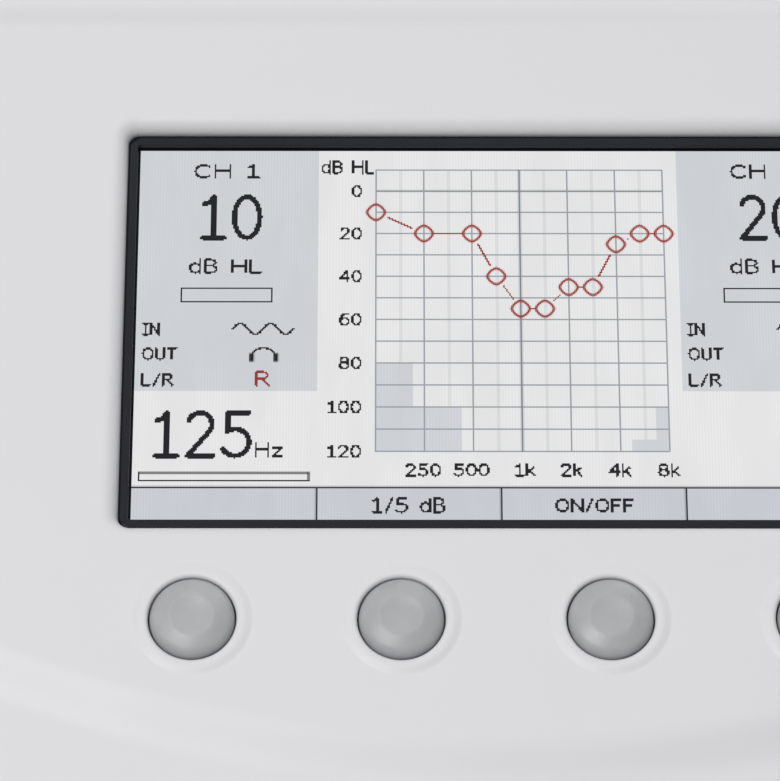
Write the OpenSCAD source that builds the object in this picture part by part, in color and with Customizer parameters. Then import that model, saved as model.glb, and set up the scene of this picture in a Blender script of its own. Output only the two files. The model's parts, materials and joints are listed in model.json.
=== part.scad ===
// Desktop audiometer: a two-channel hearing tester with a sloped deck, a 4.3 inch screen, dome
// keys, two level knobs and a row of sockets at the rear.
// Millimetres. +Z up, +X right, +Y to the rear; the origin is on the table, under the middle of
// the case. u, v and h are right, up the slope and out of the deck, from the window's middle.

/* [Case] */
// Width of the case at the seam
body_w = 300; // [288:1:330]
// Depth of the case at the seam
body_d = 240; // [236:1:260]
// Height of the lower deck above the table at the front edge
front_h = 38; // [36:0.5:46]
// Slope of the deck in degrees
deck_slope = 10; // [8:0.5:12]
// Height of the seam between the two shells
seam_z = 24; // [23.5:0.5:26]
// Gap between the table and the bottom shell
foot_h = 3; // [2.5:0.5:5]
// Thickness of the shells
wall = 2.5; // [2.3:0.1:2.7]
// Radius of the upright corners
corner_r = 26; // [20:1:30]
// Radius between the walls and the deck
edge_r = 8; // [6:0.5:9]
// Radius between the walls and the underside
base_r = 6; // [4:0.5:7]
// Draft of the walls in degrees
draft = 3; // [1:0.5:4]
// How far the middle of the front edge stands ahead of its corners
front_bow = 10; // [4:1:12]
// Depth of the groove along the seam
seam_groove = 0.6; // [0.4:0.1:1]

/* [Deck] */
// Distance from the window's middle to the rear edge, along the slope
window_back = 62; // [60:1:66]
// Height of the upper deck above the lower one
deck_step = 1.8; // [1.2:0.1:2.2]
// Radius of the upper deck's front outline
island_r = 170; // [165:1:180]
// Distance from the soft keys to the front of the upper deck
island_drop = 15.2; // [13.2:0.1:18.2]
// Width of the soft slope around the upper deck
ramp_w = 5; // [3:0.5:7]
// Width of the lower deck beside the upper one
side_land = 7; // [5:0.5:9]
// Width of the lower deck behind the upper one
back_land = 5; // [3:0.5:6]

/* [Screen] */
// Width of the screen's lit area
lcd_w = 95.04; // [94:0.01:96]
// Height of the screen's lit area
lcd_d = 53.86; // [53:0.01:55]
// Distance from the lit area to the window's sides
window_side = 1.98; // [1.7:0.01:2.5]
// Distance from the lit area to the window's ends
window_end = 1.77; // [1.57:0.01:2.3]
// Radius of the window's corners at the screen
window_corner = 1.6; // [1:0.1:3]
// Radius of the lip that rolls into the window
lip_r = 2.1; // [1.6:0.1:2.2]
// Width of the black land around the screen
land_w = 1.35; // [1.1:0.05:1.5]
// How far the lit area sits left of the window's middle
lcd_shift = 0.4; // [0:0.1:0.5]
// Height of the display module's case
module_h = 4.7; // [4.5:0.1:5.5]
// Margin of the display module's case around the lit area
module_rim = 5.2; // [5:0.1:5.6]

/* [Keys] */
// Distance between the middles of neighbouring soft keys
key_pitch = 26.4; // [25.5:0.1:27]
// Distance from the window's lower edge to the soft keys
key_drop = 13.1; // [12.8:0.1:14.3]
// Radius of a dome key's cap
key_r = 5.4; // [5:0.1:5.5]
// Gap between a dome key and the edge of its hole
key_gap = 0.45; // [0.35:0.05:0.6]
// How far the dome stands above the deck
dome_h = 1.9; // [1.6:0.1:2.2]
// How far a key travels
key_travel = 1; // [0.6:0.1:1.2]
// Width of the collar around a key's hole
collar_w = 2; // [1.5:0.1:2.4]
// Height of the collar around a key's hole
collar_h = 0.3; // [0.2:0.05:0.4]
// Length of a tone key
tone_l = 50; // [44:1:54]
// Width of a tone key
tone_w = 18; // [15:1:19]
// Distance from the case's sides to the middles of the tone keys
tone_side = 62; // [59:1:66]
// Distance from the front edge to the middles of the tone keys, along the slope
tone_front = 32; // [30.5:0.5:34]
// Distance from the case's middle to the side keys
side_u = 44; // [42:0.5:48]
// Distance from the front of the upper deck to the first side keys
side_drop = 27; // [26:0.5:29]
// Distance between the side keys of one channel
side_pitch = 20; // [19:0.5:21]
// Distance from the case's middle to the two frequency keys
freq_u = 16; // [15:0.5:18]

/* [Knobs] */
// Radius of a level knob
knob_r = 23; // [20:0.5:24]
// Height of a level knob
knob_h = 18; // [17:0.5:22]
// Distance from the case's sides to the middles of the knobs
knob_side = 52; // [50:1:56]
// Distance from the front edge to the middles of the knobs, along the slope
knob_front = 79; // [77.5:0.5:82]
// Thickness of the rubber ring around a knob
grip_w = 2.5; // [2:0.1:3]
// Number of flutes in a rubber ring
flutes = 30; // [20:1:36]
// Radius of the knob's shaft
shaft_r = 3; // [2.5:0.1:3.2]

/* [Rear] */
// Width of the rear panel's opening
rear_w = 224; // [218:1:226]
// Height of the sockets' middles above the table
socket_z = 20.5; // [20:0.1:21]
// Thickness of the rear panel
rear_t = 2; // [1.5:0.1:2.4]
// Distance between the jack sockets
jack_pitch = 22; // [20:0.5:24]
// Radius of the bore of a 6.35 mm jack socket
jack_bore_r = 3.25; // [3.2:0.01:3.27]
// Radius of the bore of the 3.5 mm talkback socket
small_bore_r = 1.8; // [1.78:0.01:1.85]
// Distance from the end of the rear opening to the power switch's middle
switch_side = 17; // [15:0.5:20]
// Tilt of the rocker each way in degrees
rocker_tilt = 10; // [6:1:11]

/* [Inside] */
// Width of the main board
main_w = 232; // [224:1:236]
// Depth of the main board
main_d = 126; // [122:1:128]
// Thickness of the circuit boards
board_t = 1.6; // [1.2:0.1:2]
// Depth of the key boards' faces below the deck
board_drop = 10; // [9.8:0.1:11]
// Height of the main board's top above the table
main_z = 14; // [13.8:0.1:14.2]
// Gap between pieces that are pushed together
fit = 0.05; // [0.03:0.01:0.08]
// Gap between a sliding stem and its guide
slide_gap = 0.08; // [0.05:0.01:0.1]

/* [Hidden] */

$fn = 48;
cut = 1;                // how far a cut runs past what it cuts
hub_gap = 0.02;         // between a knob's hub and its shaft
run_gap = 0.06;         // between a turning shaft and its bore
hole_gap = 0.2;         // between a screw or a nose and the hole it passes

shell_c = [0.87, 0.87, 0.86];
key_c = [0.68, 0.68, 0.69];
black_c = [0.06, 0.06, 0.07];
board_c = [0.05, 0.3, 0.16];
steel_c = [0.72, 0.73, 0.75];
switch_c = [0.85, 0.84, 0.8];

tan_s = tan(deck_slope);
cos_s = cos(deck_slope);
window_w = lcd_w + 2 * window_side;
window_d = lcd_d + 2 * window_end;
key_row = window_d / 2 + key_drop;
island_front = key_row + island_drop;
side_row = island_front + side_drop;
front_v = window_back - body_d / cos_s;
panel_y = body_d / 2 - window_back * cos_s;
step_z = deck_step / cos_s;
panel_z = front_h + (panel_y + body_d / 2) * tan_s + step_z;

// Outline: corners as arcs, with points along the front for its bow
arc_steps = 7;
front_steps = 10;
roll_steps = 5;
half_w = body_w / 2 - corner_r;
half_d = body_d / 2 - corner_r;
turn = 90 / arc_steps;
front_dx = 2 * half_w / front_steps;
OUTLINE = concat(
  [for (i = [0 : arc_steps]) [half_w, -half_d, cos(i * turn - 90), sin(i * turn - 90)]],
  [for (i = [0 : arc_steps]) [half_w, half_d, cos(i * turn), sin(i * turn)]],
  [for (i = [0 : arc_steps]) [-half_w, half_d, cos(i * turn + 90), sin(i * turn + 90)]],
  [for (i = [0 : arc_steps]) [-half_w, -half_d, cos(i * turn + 180), sin(i * turn + 180)]],
  [for (i = [1 : front_steps - 1]) [-half_w + i * front_dx, -half_d, 0, -1]]
);

function bowed(p) = [p.x, p.y + front_bow * pow(2 * p.x / body_w, 2) * (0.5 - p.y / body_d)];
function edge_point(s, inset) =
  let (r = corner_r - inset)
  bowed([s[0] + s[2] * r, s[1] + s[3] * r]);
function deck_z(y) = front_h + (y + body_d / 2) * tan_s;
function at(p, z) = [p.x, p.y, z];

// A ring of the case's outline at one height
function level_ring(z, inset) = [for (s = OUTLINE) at(edge_point(s, inset), z)];
// A ring of the rounding between the walls and a deck, at angle a of the rounding
function roll_point(s, inset, lift, r, a) =
  let (wall_z = deck_z(edge_point(s, inset).y) + lift - r,
       p = edge_point(s, inset + (wall_z - seam_z) * tan(draft) + r * (1 - cos(a))))
  at(p, deck_z(p.y) + lift - r * (1 - sin(a)));
function roll_ring(inset, lift, r, a) = [for (s = OUTLINE) roll_point(s, inset, lift, r, a)];

// A closed solid through rings of equal length, from the lowest to the highest
module skin(rings) {
  n = len(rings[0]);
  last = len(rings) - 1;
  points = [for (ring = rings) each ring];
  walls = [
    for (k = [0 : last - 1])
      for (i = [0 : n - 1])
        let (low = k * n, high = low + n, next = (i + 1) % n)
        each [[low + i, high + i, high + next], [low + i, high + next, low + next]]
  ];
  base = [for (i = [0 : n - 1]) i];
  lid = [for (i = [n - 1 : -1 : 0]) last * n + i];
  polyhedron(points, concat([base], walls, [lid]), convexity = 8);
}

// The space under a deck, down to the height low
module deck_block(inset, lift, r, low) {
  skin(concat(
    [level_ring(low, inset)],
    [for (k = [0 : roll_steps]) roll_ring(inset, lift, r, 90 * k / roll_steps)]
  ));
}

module on_deck(u = 0, v = 0, h = 0) {
  translate([0, panel_y, panel_z]) rotate([deck_slope, 0, 0]) translate([u, v, h]) children();
}
module on_lower(u = 0, v = 0, h = 0) { on_deck(u, v, h - deck_step) children(); }

// The raised island: a circle's front, straight sides and rear, met by rounded corners.
// Its outline is the smooth least of the three distances from a middle point.
island_steps = 72;
island_mid = 10;
island_blend = 14;
island_rise = 5;
island_side = body_w / 2 - edge_r - side_land;
island_back = window_back - (edge_r + back_land) / cos_s;
function out_to_circle(a, r) =
  let (drop = island_r - island_front - island_mid)
  drop * sin(a) + sqrt(drop * drop * (sin(a) * sin(a) - 1) + r * r);
function least(sizes) = pow([for (s = sizes) 1] * [for (s = sizes) pow(s, -island_blend)], -1 / island_blend);
function island_ring(r, side, back, h) = [
  for (i = [0 : island_steps - 1])
    let (a = 360 * (i + 0.5) / island_steps,
         to_side = side / abs(cos(a)),
         to_back = (back - island_mid) / max(sin(a), 0.01),
         out = least([out_to_circle(a, r), to_side, to_back]))
    [out * cos(a), island_mid + out * sin(a), h]
];
function ramp_ring(t) = island_ring(
  island_r + ramp_w * (1 - t), island_side - ramp_w * t, island_back - ramp_w * t,
  deck_step * (t * t * (3 - 2 * t) - 1)
);
module island() {
  foot = island_ring(island_r + ramp_w, island_side, island_back, -deck_step - wall / 2);
  on_deck() skin(concat([foot], [for (k = [0 : island_rise]) ramp_ring(k / island_rise)]));
}
// The hollow under the island, kept clear of the rear case posts
pocket_front = 1.5;
pocket_side = 9;
module island_pocket() {
  under_r = island_r - pocket_front;
  under_side = island_side - pocket_side;
  under_back = island_back - ramp_w;
  on_deck() skin([
    island_ring(under_r, under_side, under_back, -deck_step - wall - cut),
    island_ring(under_r, under_side, under_back, -wall)
  ]);
}

// Places on the deck, as [u, v]
SOFT = [for (i = [-1.5 : 1 : 1.5]) [i * key_pitch, -key_row]];
CH1_KEYS = [for (i = [0 : 2]) [-side_u, -side_row - i * side_pitch]];
CH2_KEYS = [for (i = [0 : 2]) [side_u, -side_row - i * side_pitch]];
freq_row = side_row + side_pitch;
FREQ = [[-freq_u, -freq_row], [freq_u, -freq_row], [0, -freq_row - side_pitch]];
LOWER_KEYS = concat(CH1_KEYS, CH2_KEYS, FREQ);
tone_u = body_w / 2 - tone_side;
TONE = [for (s = [-1, 1]) [s * tone_u, front_v + tone_front]];
lamp_up = 7;
LAMPS = [for (p = TONE) [p.x, p.y + tone_w / 2 + lamp_up]];
knob_u = body_w / 2 - knob_side;
KNOBS = [for (s = [-1, 1]) [s * knob_u, front_v + knob_front]];
// The speaker on the right and the microphone on the left, as far in from the island's sides.
// Where its front curves in, it holds them instead.
spot_v = 22;
spot_side = 31;
spot_front = 31.7;
spot_drop = island_r - island_front - spot_v;
spot_reach = island_r - spot_front;
side_spot = min(island_side - spot_side, sqrt(spot_reach * spot_reach - spot_drop * spot_drop));

hole_r = key_r + key_gap;
play = 0.15;
key_under = wall + play;
flange_t = 1.2;
flange_out = 1.25;
flange_r = hole_r + flange_out;
stem_r = 2;
switch_r = 4.5;
switch_floor = 1;
switch_top = key_under + flange_t + 0.75 + key_travel;
stem_end = board_drop - switch_floor - key_travel - 0.95;
lamp_r = 1.5;
bushing_r = 4.4;
grille_r = 18;
mic_r = 3;

// Window and screen
window_steps = 5;
function rect_ring(w, d, r, h) = [
  for (i = [0 : 3], k = [0 : window_steps])
    let (a = 90 * i + 90 * k / window_steps,
         sx = (i == 0 || i == 3) ? 1 : -1,
         sy = i < 2 ? 1 : -1)
    [sx * (w / 2 - r) + r * cos(a), sy * (d / 2 - r) + r * sin(a), h]
];
function lip_ring(a) =
  let (grow = lip_r * (1 - cos(a)))
  rect_ring(window_w + 2 * grow, window_d + 2 * grow, window_corner + grow, -lip_r * (1 - sin(a)));
module window_cutter() {
  on_deck() skin(concat(
    [rect_ring(window_w, window_d, window_corner, -wall - cut)],
    [for (k = [0 : 6]) lip_ring(15 * k)],
    [rect_ring(window_w + 2 * lip_r, window_d + 2 * lip_r, window_corner + lip_r, cut)]
  ));
}

land_top = lip_r + 0.1;
land_gap = 0.15;
land_out_w = window_w - 2 * land_gap;
land_out_d = window_d - 2 * land_gap;
bezel_low = land_top + 1.05;
glass_top = bezel_low + fit;
glass_t = 1.3;
can_t = 0.8;
connector_rim = 3;
can_w = lcd_w + 2 * module_rim;
can_d = lcd_d + 2 * module_rim + connector_rim;
can_low = glass_top + module_h;
bracket_t = 1.5;
bracket_top = can_low + fit;
// The display's four ears
ear_u = can_w / 2 + 3.6;
ear_v = can_d / 2 + 3;
EARS = [[-ear_u, -ear_v], [ear_u, -ear_v], [-ear_u, ear_v], [ear_u, ear_v]];

// Boards
board_u = body_w / 2 - 28;
board_near = -front_v - 21.7;
board_far = side_row - 10;
soft_board_u = 1.5 * key_pitch + 12.4;
soft_board_near = key_row + 8.2;
soft_board_far = key_row - 6.3;
main_side = main_w / 2;
main_rear = body_d / 2 - 12;
main_front = main_rear - main_d;

// Screws and posts
post_r = 3;
pilot_r = 1.1;
screw_r = pilot_r - fit;
screw_head_r = 2.2;
screw_head_h = 1.4;
screw_l = 6;
UPPER_POSTS = [for (i = [-1 : 1]) [i * key_pitch, -key_row]];
post_u = board_u - 6;
far_post = -board_far - 8;
near_post = 2 - board_near;
LOWER_POSTS = [
  [-post_u, far_post], [post_u, far_post], [-post_u, near_post], [post_u, near_post],
  [0, far_post], [-22, near_post + 6], [22, near_post + 6]
];
main_post_x = main_side - 6;
MAIN_POSTS = [
  [-main_post_x, main_front + 10], [main_post_x, main_front + 10], [0, main_front + 10],
  [-main_post_x, main_rear - 32], [main_post_x, main_rear - 32]
];
case_post_x = body_w / 2 - 18;
case_post_front = 32 - body_d / 2;
case_post_middle = 11 - body_d / 2;
case_post_rear = body_d / 2 - 22;
CASE_POSTS = [
  [-case_post_x, case_post_front], [case_post_x, case_post_front], [0, case_post_middle],
  [-case_post_x, case_post_rear], [case_post_x, case_post_rear]
];
case_post_r = 4.2;
insert_r = 2.3;
insert_l = 6;
m3_r = 1.5;
meet_z = seam_z + 2;
head_r = 2.9;
head_h = 2.4;
head_sink = 3;

// Rear
rear_y = body_d / 2 - 4.2;
rear_cut = 12;
rear_low = 9;
rear_high = 32;
rear_in = rear_y - rear_t;
jack_w = 16;
jack_l = 26;
jack_h = 2 * (socket_z - main_z);
jack_nose_r = 4.5;
nose_out = 3.2;
jack_back = 2;
small_w = 9;
small_l = 14;
small_nose_r = 3;
nut_t = 2;
first_jack = -20;
JACK_X = [for (i = [0 : 3]) first_jack + i * jack_pitch];
talk_x = first_jack + 4 * jack_pitch - 2;
switch_x = rear_w / 2 - switch_side;
dc_x = switch_x - 25;
usb_x = switch_x - 47;
dc_nose_r = 4.4;
dc_w = 9;
dc_l = 13;
dc_bore_r = 2.85;
dc_deep = 9;
usb_w = 8.94;
usb_h = 3.26;
usb_l = 8;
switch_w = 18.9;
switch_d = 12.8;
switch_l = 15;
rocker_w = 16.4;
rocker_d = 10.9;
pivot_y = rear_y - 2;
pivot_r = 1.2;

// Feet
foot_r = 9;
foot_sink = 1;
foot_chamfer = 0.6;
foot_x = body_w / 2 - 38;
foot_y = body_d / 2 - 30;
FEET = [[-foot_x, -foot_y], [foot_x, -foot_y], [-foot_x, foot_y], [foot_x, foot_y]];

module slot(l, w, h) {
  linear_extrude(h) union() {
    square([l - w, w], center = true);
    translate([(l - w) / 2, 0]) circle(d = w);
    translate([(w - l) / 2, 0]) circle(d = w);
  }
}
module block(w, d, h) { translate([-w / 2, -d / 2, 0]) cube([w, d, h]); }
module rounded_block(w, d, r, h) {
  linear_extrude(h) union() {
    square([w - 2 * r, d], center = true);
    square([w, d - 2 * r], center = true);
    for (sx = [-1, 1]) for (sy = [-1, 1]) translate([sx * (w / 2 - r), sy * (d / 2 - r)]) circle(r = r);
  }
}

// The low collar around a dome key's hole
collar_root = 1;
collar_chamfer = 0.1;
module collar() {
  collar_r = hole_r + collar_w;
  rotate_extrude() polygon([
    [hole_r, -collar_root], [hole_r, collar_h * 0.8], [hole_r + collar_chamfer, collar_h],
    [hole_r + collar_w * 0.45, collar_h], [hole_r + collar_w * 0.8, collar_h * 0.3], [collar_r, 0],
    [collar_r, -collar_root]
  ]);
}
module deck_hole(r) { translate([0, 0, -wall - cut]) cylinder(h = wall + 3 * cut, r = r); }

// Top shell
module case_post_top(p) {
  translate([p.x, p.y, meet_z]) cylinder(h = deck_z(p.y) - 1 - meet_z, r = case_post_r);
}
module case_post_bore(p) {
  translate([p.x, p.y, meet_z - cut]) {
    cylinder(h = insert_l + cut + 4, r = m3_r + 0.1);
    cylinder(h = insert_l + cut, r = insert_r + fit);
  }
}
module hung_post(l) { translate([0, 0, -l]) cylinder(h = l - wall / 2, r = post_r); }
module pilot(l, deep = screw_l) { translate([0, 0, -l - cut]) cylinder(h = deep + cut, r = pilot_r); }
module top_posts() {
  for (p = CASE_POSTS) case_post_top(p);
  for (p = UPPER_POSTS) on_deck(p.x, p.y) hung_post(board_drop);
  for (p = EARS) on_deck(p.x, p.y) hung_post(bracket_top);
  for (p = LOWER_POSTS) on_lower(p.x, p.y) hung_post(board_drop);
}
module tone_slot() {
  translate([0, 0, -wall - cut]) slot(tone_l + 2 * key_gap, tone_w + 2 * key_gap, wall + 3 * cut);
}
module top_holes() {
  for (p = CASE_POSTS) case_post_bore(p);
  for (p = UPPER_POSTS) on_deck(p.x, p.y) pilot(board_drop);
  for (p = EARS) on_deck(p.x, p.y) pilot(bracket_top, screw_l - 1);
  for (p = LOWER_POSTS) on_lower(p.x, p.y) pilot(board_drop);
  for (p = SOFT) on_deck(p.x, p.y) deck_hole(hole_r);
  for (p = LOWER_KEYS) on_lower(p.x, p.y) deck_hole(hole_r);
  for (p = TONE) on_lower(p.x, p.y) tone_slot();
  for (p = LAMPS) on_lower(p.x, p.y) deck_hole(lamp_r + 0.1);
  for (p = KNOBS) on_lower(p.x, p.y) deck_hole(bushing_r + hole_gap);
  on_deck(side_spot, spot_v) deck_hole(grille_r + hole_gap);
  on_deck(-side_spot, spot_v) deck_hole(mic_r + 0.15);
  rear_opening(seam_z - cut, rear_high);
}
module rear_opening(low, high) {
  translate([-rear_w / 2, body_d / 2 - rear_cut, low]) cube([rear_w, rear_cut + cut, high - low]);
}
module top_shell() {
  color(shell_c) difference() {
    union() {
      difference() {
        union() {
          deck_block(0, 0, edge_r, seam_z);
          island();
        }
        deck_block(wall, -wall / cos_s, edge_r - wall, seam_z - cut);
        island_pocket();
      }
      top_posts();
      for (p = SOFT) on_deck(p.x, p.y) collar();
      for (p = LOWER_KEYS) on_lower(p.x, p.y) collar();
    }
    window_cutter();
    top_holes();
  }
}

// Bottom shell
base_draft = (seam_z - foot_h - base_r) * tan(draft);
function base_ring(z0, inset, r, a) =
  level_ring(z0 + r * (1 - cos(a)), inset + base_draft + r * (1 - sin(a)));
module tray(z0, inset, r, top) {
  skin(concat([for (k = [0 : roll_steps]) base_ring(z0, inset, r, 90 * k / roll_steps)], top));
}
groove_h = 0.9;
groove_chamfer = 0.1;
inner_floor = foot_h + wall / 2;
main_low = main_z - board_t;
rail_w = 4;
rail_t = 2;
module bottom_skin() {
  difference() {
    tray(foot_h, 0, base_r, [
      level_ring(seam_z - groove_h, 0), level_ring(seam_z - groove_h + groove_chamfer, seam_groove),
      level_ring(seam_z, seam_groove)
    ]);
    tray(foot_h + wall, wall, base_r - wall, [level_ring(seam_z + cut, wall)]);
  }
}
module standing_post(p, high, r) {
  translate([p.x, p.y, inner_floor]) cylinder(h = high - inner_floor, r = r);
}
// A rail behind each end of the rear panel
module panel_rail(s) {
  translate([s * (rear_w / 2 + 1) - rail_w / 2, rear_in - fit - rail_t, inner_floor])
    cube([rail_w, rail_t, seam_z - foot_h - wall]);
}
module bottom_holes() {
  for (p = CASE_POSTS) translate([p.x, p.y, foot_h - cut]) {
    cylinder(h = head_sink + cut, r = head_r + hole_gap);
    cylinder(h = meet_z, r = m3_r + hole_gap);
  }
  for (p = MAIN_POSTS) translate([p.x, p.y, main_low - screw_l + 1]) cylinder(h = screw_l, r = pilot_r);
  for (p = FEET) translate([p.x, p.y, foot_h - cut]) cylinder(h = foot_sink + cut, r = foot_r + fit);
  rear_opening(rear_low, seam_z + rear_low);
}
module bottom_shell() {
  color(shell_c) difference() {
    union() {
      bottom_skin();
      for (p = CASE_POSTS) standing_post(p, meet_z - fit, case_post_r);
      for (p = MAIN_POSTS) standing_post(p, main_low, post_r);
      for (s = [-1, 1]) panel_rail(s);
    }
    bottom_holes();
  }
}

// Rear panel with its cut-outs
rear_lap = 3;
rear_lap_low = 1.5;
rear_lap_high = 2.5;
usb_gap = 0.15;
switch_gap = 0.1;
switch_hole_d = switch_d + 2 * switch_gap;
module along_rear(x, y, z) { translate([x, y, z]) rotate([-90, 0, 0]) children(); }
module rear_hole(x, r) { along_rear(x, rear_in - cut, socket_z) cylinder(h = rear_t + 2 * cut, r = r); }
// A square hole, from its middle and its lower edge
module rear_square(x, z, w, h) {
  translate([x - w / 2, rear_in - cut, z]) cube([w, rear_t + 2 * cut, h]);
}
module rear_panel() {
  low = rear_low - rear_lap_low;
  color(black_c) difference() {
    translate([-rear_w / 2 - rear_lap, rear_in, low])
      cube([rear_w + 2 * rear_lap, rear_t, rear_high + rear_lap_high - low]);
    for (x = JACK_X) rear_hole(x, jack_nose_r + hole_gap);
    rear_hole(talk_x, small_nose_r + hole_gap);
    rear_hole(-dc_x, dc_nose_r + hole_gap);
    rear_square(-usb_x, main_z - usb_gap, usb_w + 2 * usb_gap, usb_h + 2 * usb_gap);
    rear_square(-switch_x, socket_z - switch_hole_d / 2, switch_w + 2 * switch_gap, switch_hole_d);
  }
}

// Screen
module lcd_place(h) { on_deck(-lcd_shift, 0, h) children(); }
in_can_w = can_w - 2 * can_t;
in_can_d = can_d - 2 * can_t;
can_gap = 0.1;
flange_side = 3.5;
flange_end = 3;
module screen_bezel() {
  color(black_c) on_deck(0, 0, -bezel_low) difference() {
    union() {
      block(window_w + 2 * flange_side, window_d + 2 * flange_end, bezel_low - wall - fit);
      rounded_block(land_out_w, land_out_d, window_corner - land_gap, bezel_low - land_top);
    }
    translate([-lcd_shift / 2, 0, -cut]) block(land_out_w - 2 * land_w, land_out_d - 2 * land_w, bezel_low);
  }
}
module in_can(h) { block(in_can_w - 2 * can_gap, in_can_d - 2 * can_gap, h); }
module lcd_glass() { color([0.85, 0.88, 0.9]) lcd_place(-glass_top - glass_t) in_can(glass_t); }
module lcd_backlight() {
  color([0.95, 0.95, 0.93]) lcd_place(-can_low + can_t) in_can(module_h - can_t - glass_t - fit);
}
module lcd_frame() {
  color(steel_c) lcd_place(-can_low) difference() {
    block(can_w, can_d, module_h - fit);
    translate([0, 0, can_t]) block(in_can_w, in_can_d, module_h);
  }
}
module ear_leg(p) { translate([p.x, p.y / 2, 0]) block(2 * post_r + 1, abs(p.y) + 2 * post_r, bracket_t); }
module lcd_bracket() {
  color(steel_c) on_deck(0, 0, -bracket_top - bracket_t) difference() {
    union() {
      block(2 * ear_u + 2 * post_r, can_d, bracket_t);
      for (p = EARS) ear_leg(p);
    }
    for (p = EARS) translate([p.x, p.y, -cut]) cylinder(h = bracket_t + 2 * cut, r = pilot_r + hole_gap);
    translate([0, 0, -cut]) block(can_w * 0.6, can_d * 0.5, bracket_t + 2 * cut);
  }
}

// A strip of thickness t along the points of a path, in the plane of Y and Z
function side_of(p, i) =
  let (a = p[max(i - 1, 0)], b = p[min(i + 1, len(p) - 1)], d = b - a)
  [-d.y, d.x] / norm(d);
module strip(path, t, w) {
  n = len(path);
  left = [for (i = [0 : n - 1]) path[i] + side_of(path, i) * t / 2];
  right = [for (i = [n - 1 : -1 : 0]) path[i] - side_of(path, i) * t / 2];
  rotate([90, 0, 90]) translate([0, 0, -w / 2]) linear_extrude(w) polygon(concat(left, right));
}
sin_s = sin(deck_slope);
function deck_yz(v, h) = [panel_y + v * cos_s - h * sin_s, panel_z + v * sin_s + h * cos_s];
plug_h = 2.4;
plug_top = main_z + plug_h;
flex_y = main_rear - 40;
flex_w = 22;
flex_t = 0.3;
ribbon_t = 0.9;
soft_ribbon_y = main_rear - 84;
soft_ribbon_w = 15;
soft_ribbon_x = key_pitch / 2;
key_ribbon_y = main_front + 12;
key_ribbon_w = 25;
key_ribbon_x = 40;
under_soft = board_drop + board_t + fit;
under_keys = deck_step + under_soft;
module lcd_flex() {
  out = can_d / 2;
  color([0.7, 0.45, 0.12]) strip([
    deck_yz(out + 0.2, 0.8 - can_low), deck_yz(out + 1.6, 0.4 - can_low), deck_yz(out + 1.8, -can_low - 4),
    deck_yz(out - 6, -can_low - 9), [flex_y + 3, main_z + 26], [flex_y, main_z + 18], [flex_y, plug_top + fit]
  ], flex_t, flex_w);
}
// A ribbon from the point v under a key board, past one bend, to its plug at y on the main board
module ribbon(x, w, v, under, lean, y) {
  translate([x, 0, 0]) strip([
    deck_yz(v, -under), deck_yz(v, -under - 2), deck_yz(v + lean, -under - 5),
    [y + 2, main_z + 18], [y, main_z + 11], [y, plug_top + fit]
  ], ribbon_t, w);
}
module ribbon_cables() {
  color([0.6, 0.6, 0.62]) {
    ribbon(soft_ribbon_x, soft_ribbon_w, -key_row, under_soft, 1, soft_ribbon_y);
    ribbon(key_ribbon_x, key_ribbon_w, -board_far - 3, under_keys, 1, key_ribbon_y);
  }
}

// Dome key: cap with a finger dimple, flange under the deck and stem
dome_steps = 6;
dome_edge = 0.45;
dome_sag = dome_h - dome_edge;
dome_ball = (key_r * key_r + dome_sag * dome_sag) / (2 * dome_sag);
dimple_r = 2.9;
dimple_depth = 0.35;
dimple_ball = (dimple_r * dimple_r + dimple_depth * dimple_depth) / (2 * dimple_depth);
dimple_sink = dimple_depth * 1.6;
dome_turn = asin(key_r / dome_ball);
function dome_point(a) = [dome_ball * sin(a), dome_h - dome_ball * (1 - cos(a))];
flange_low = -key_under - flange_t;
module dome_key() {
  color(key_c) difference() {
    rotate_extrude() polygon(concat(
      [[0, -stem_end], [stem_r, -stem_end], [stem_r, flange_low], [flange_r, flange_low]],
      [[flange_r, -key_under], [key_r, -key_under]],
      [for (k = [dome_steps : -1 : 0]) dome_point(dome_turn * k / dome_steps)]
    ));
    translate([0, 0, dome_h - dimple_sink + dimple_ball]) sphere(r = dimple_ball, $fn = 96);
  }
}
module soft_key(i) { on_deck(SOFT[i].x, SOFT[i].y) dome_key(); }
module low_key(p) { on_lower(p.x, p.y) dome_key(); }

// Tone key: a long cap with a stepped edge, on two stems
tone_h = 1.5;
tone_step = 0.5;
tone_stem = tone_l / 4;
tone_flange = key_gap + flange_out + 0.3;
module tone_key(p) {
  color(key_c) on_lower(p.x, p.y) {
    translate([0, 0, -key_under]) slot(tone_l, tone_w, key_under + tone_h);
    translate([0, 0, tone_h]) slot(tone_l - 2 * tone_step, tone_w - 2 * tone_step, tone_step);
    translate([0, 0, flange_low]) slot(tone_l + 2 * tone_flange, tone_w + 2 * tone_flange, flange_t);
    for (s = [-1, 1]) translate([s * tone_stem, 0, -stem_end]) cylinder(h = stem_end - key_under, r = stem_r);
  }
}
module key_switch() {
  translate([0, 0, -board_drop + fit]) difference() {
    cylinder(h = board_drop - switch_top - fit, r = switch_r);
    translate([0, 0, switch_floor]) cylinder(h = board_drop, r = stem_r + slide_gap);
  }
}
module softkey_switches() { color(switch_c) for (p = SOFT) on_deck(p.x, p.y) key_switch(); }
module lower_key_switches() { color(switch_c) for (p = LOWER_KEYS) on_lower(p.x, p.y) key_switch(); }
module tone_switches() {
  color(switch_c) for (p = TONE) for (s = [-1, 1]) on_lower(p.x + s * tone_stem, p.y) key_switch();
}
lamp_out = 0.4;
lamp_flange_t = 1.1;
module tone_lamps() {
  color([0.9, 0.6, 0.2]) for (p = LAMPS) on_lower(p.x, p.y) {
    translate([0, 0, -board_drop + fit]) cylinder(h = board_drop - fit + lamp_out, r = lamp_r);
    translate([0, 0, -wall - lamp_flange_t - 0.1]) cylinder(h = lamp_flange_t, r = lamp_r + 1);
  }
}

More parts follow.
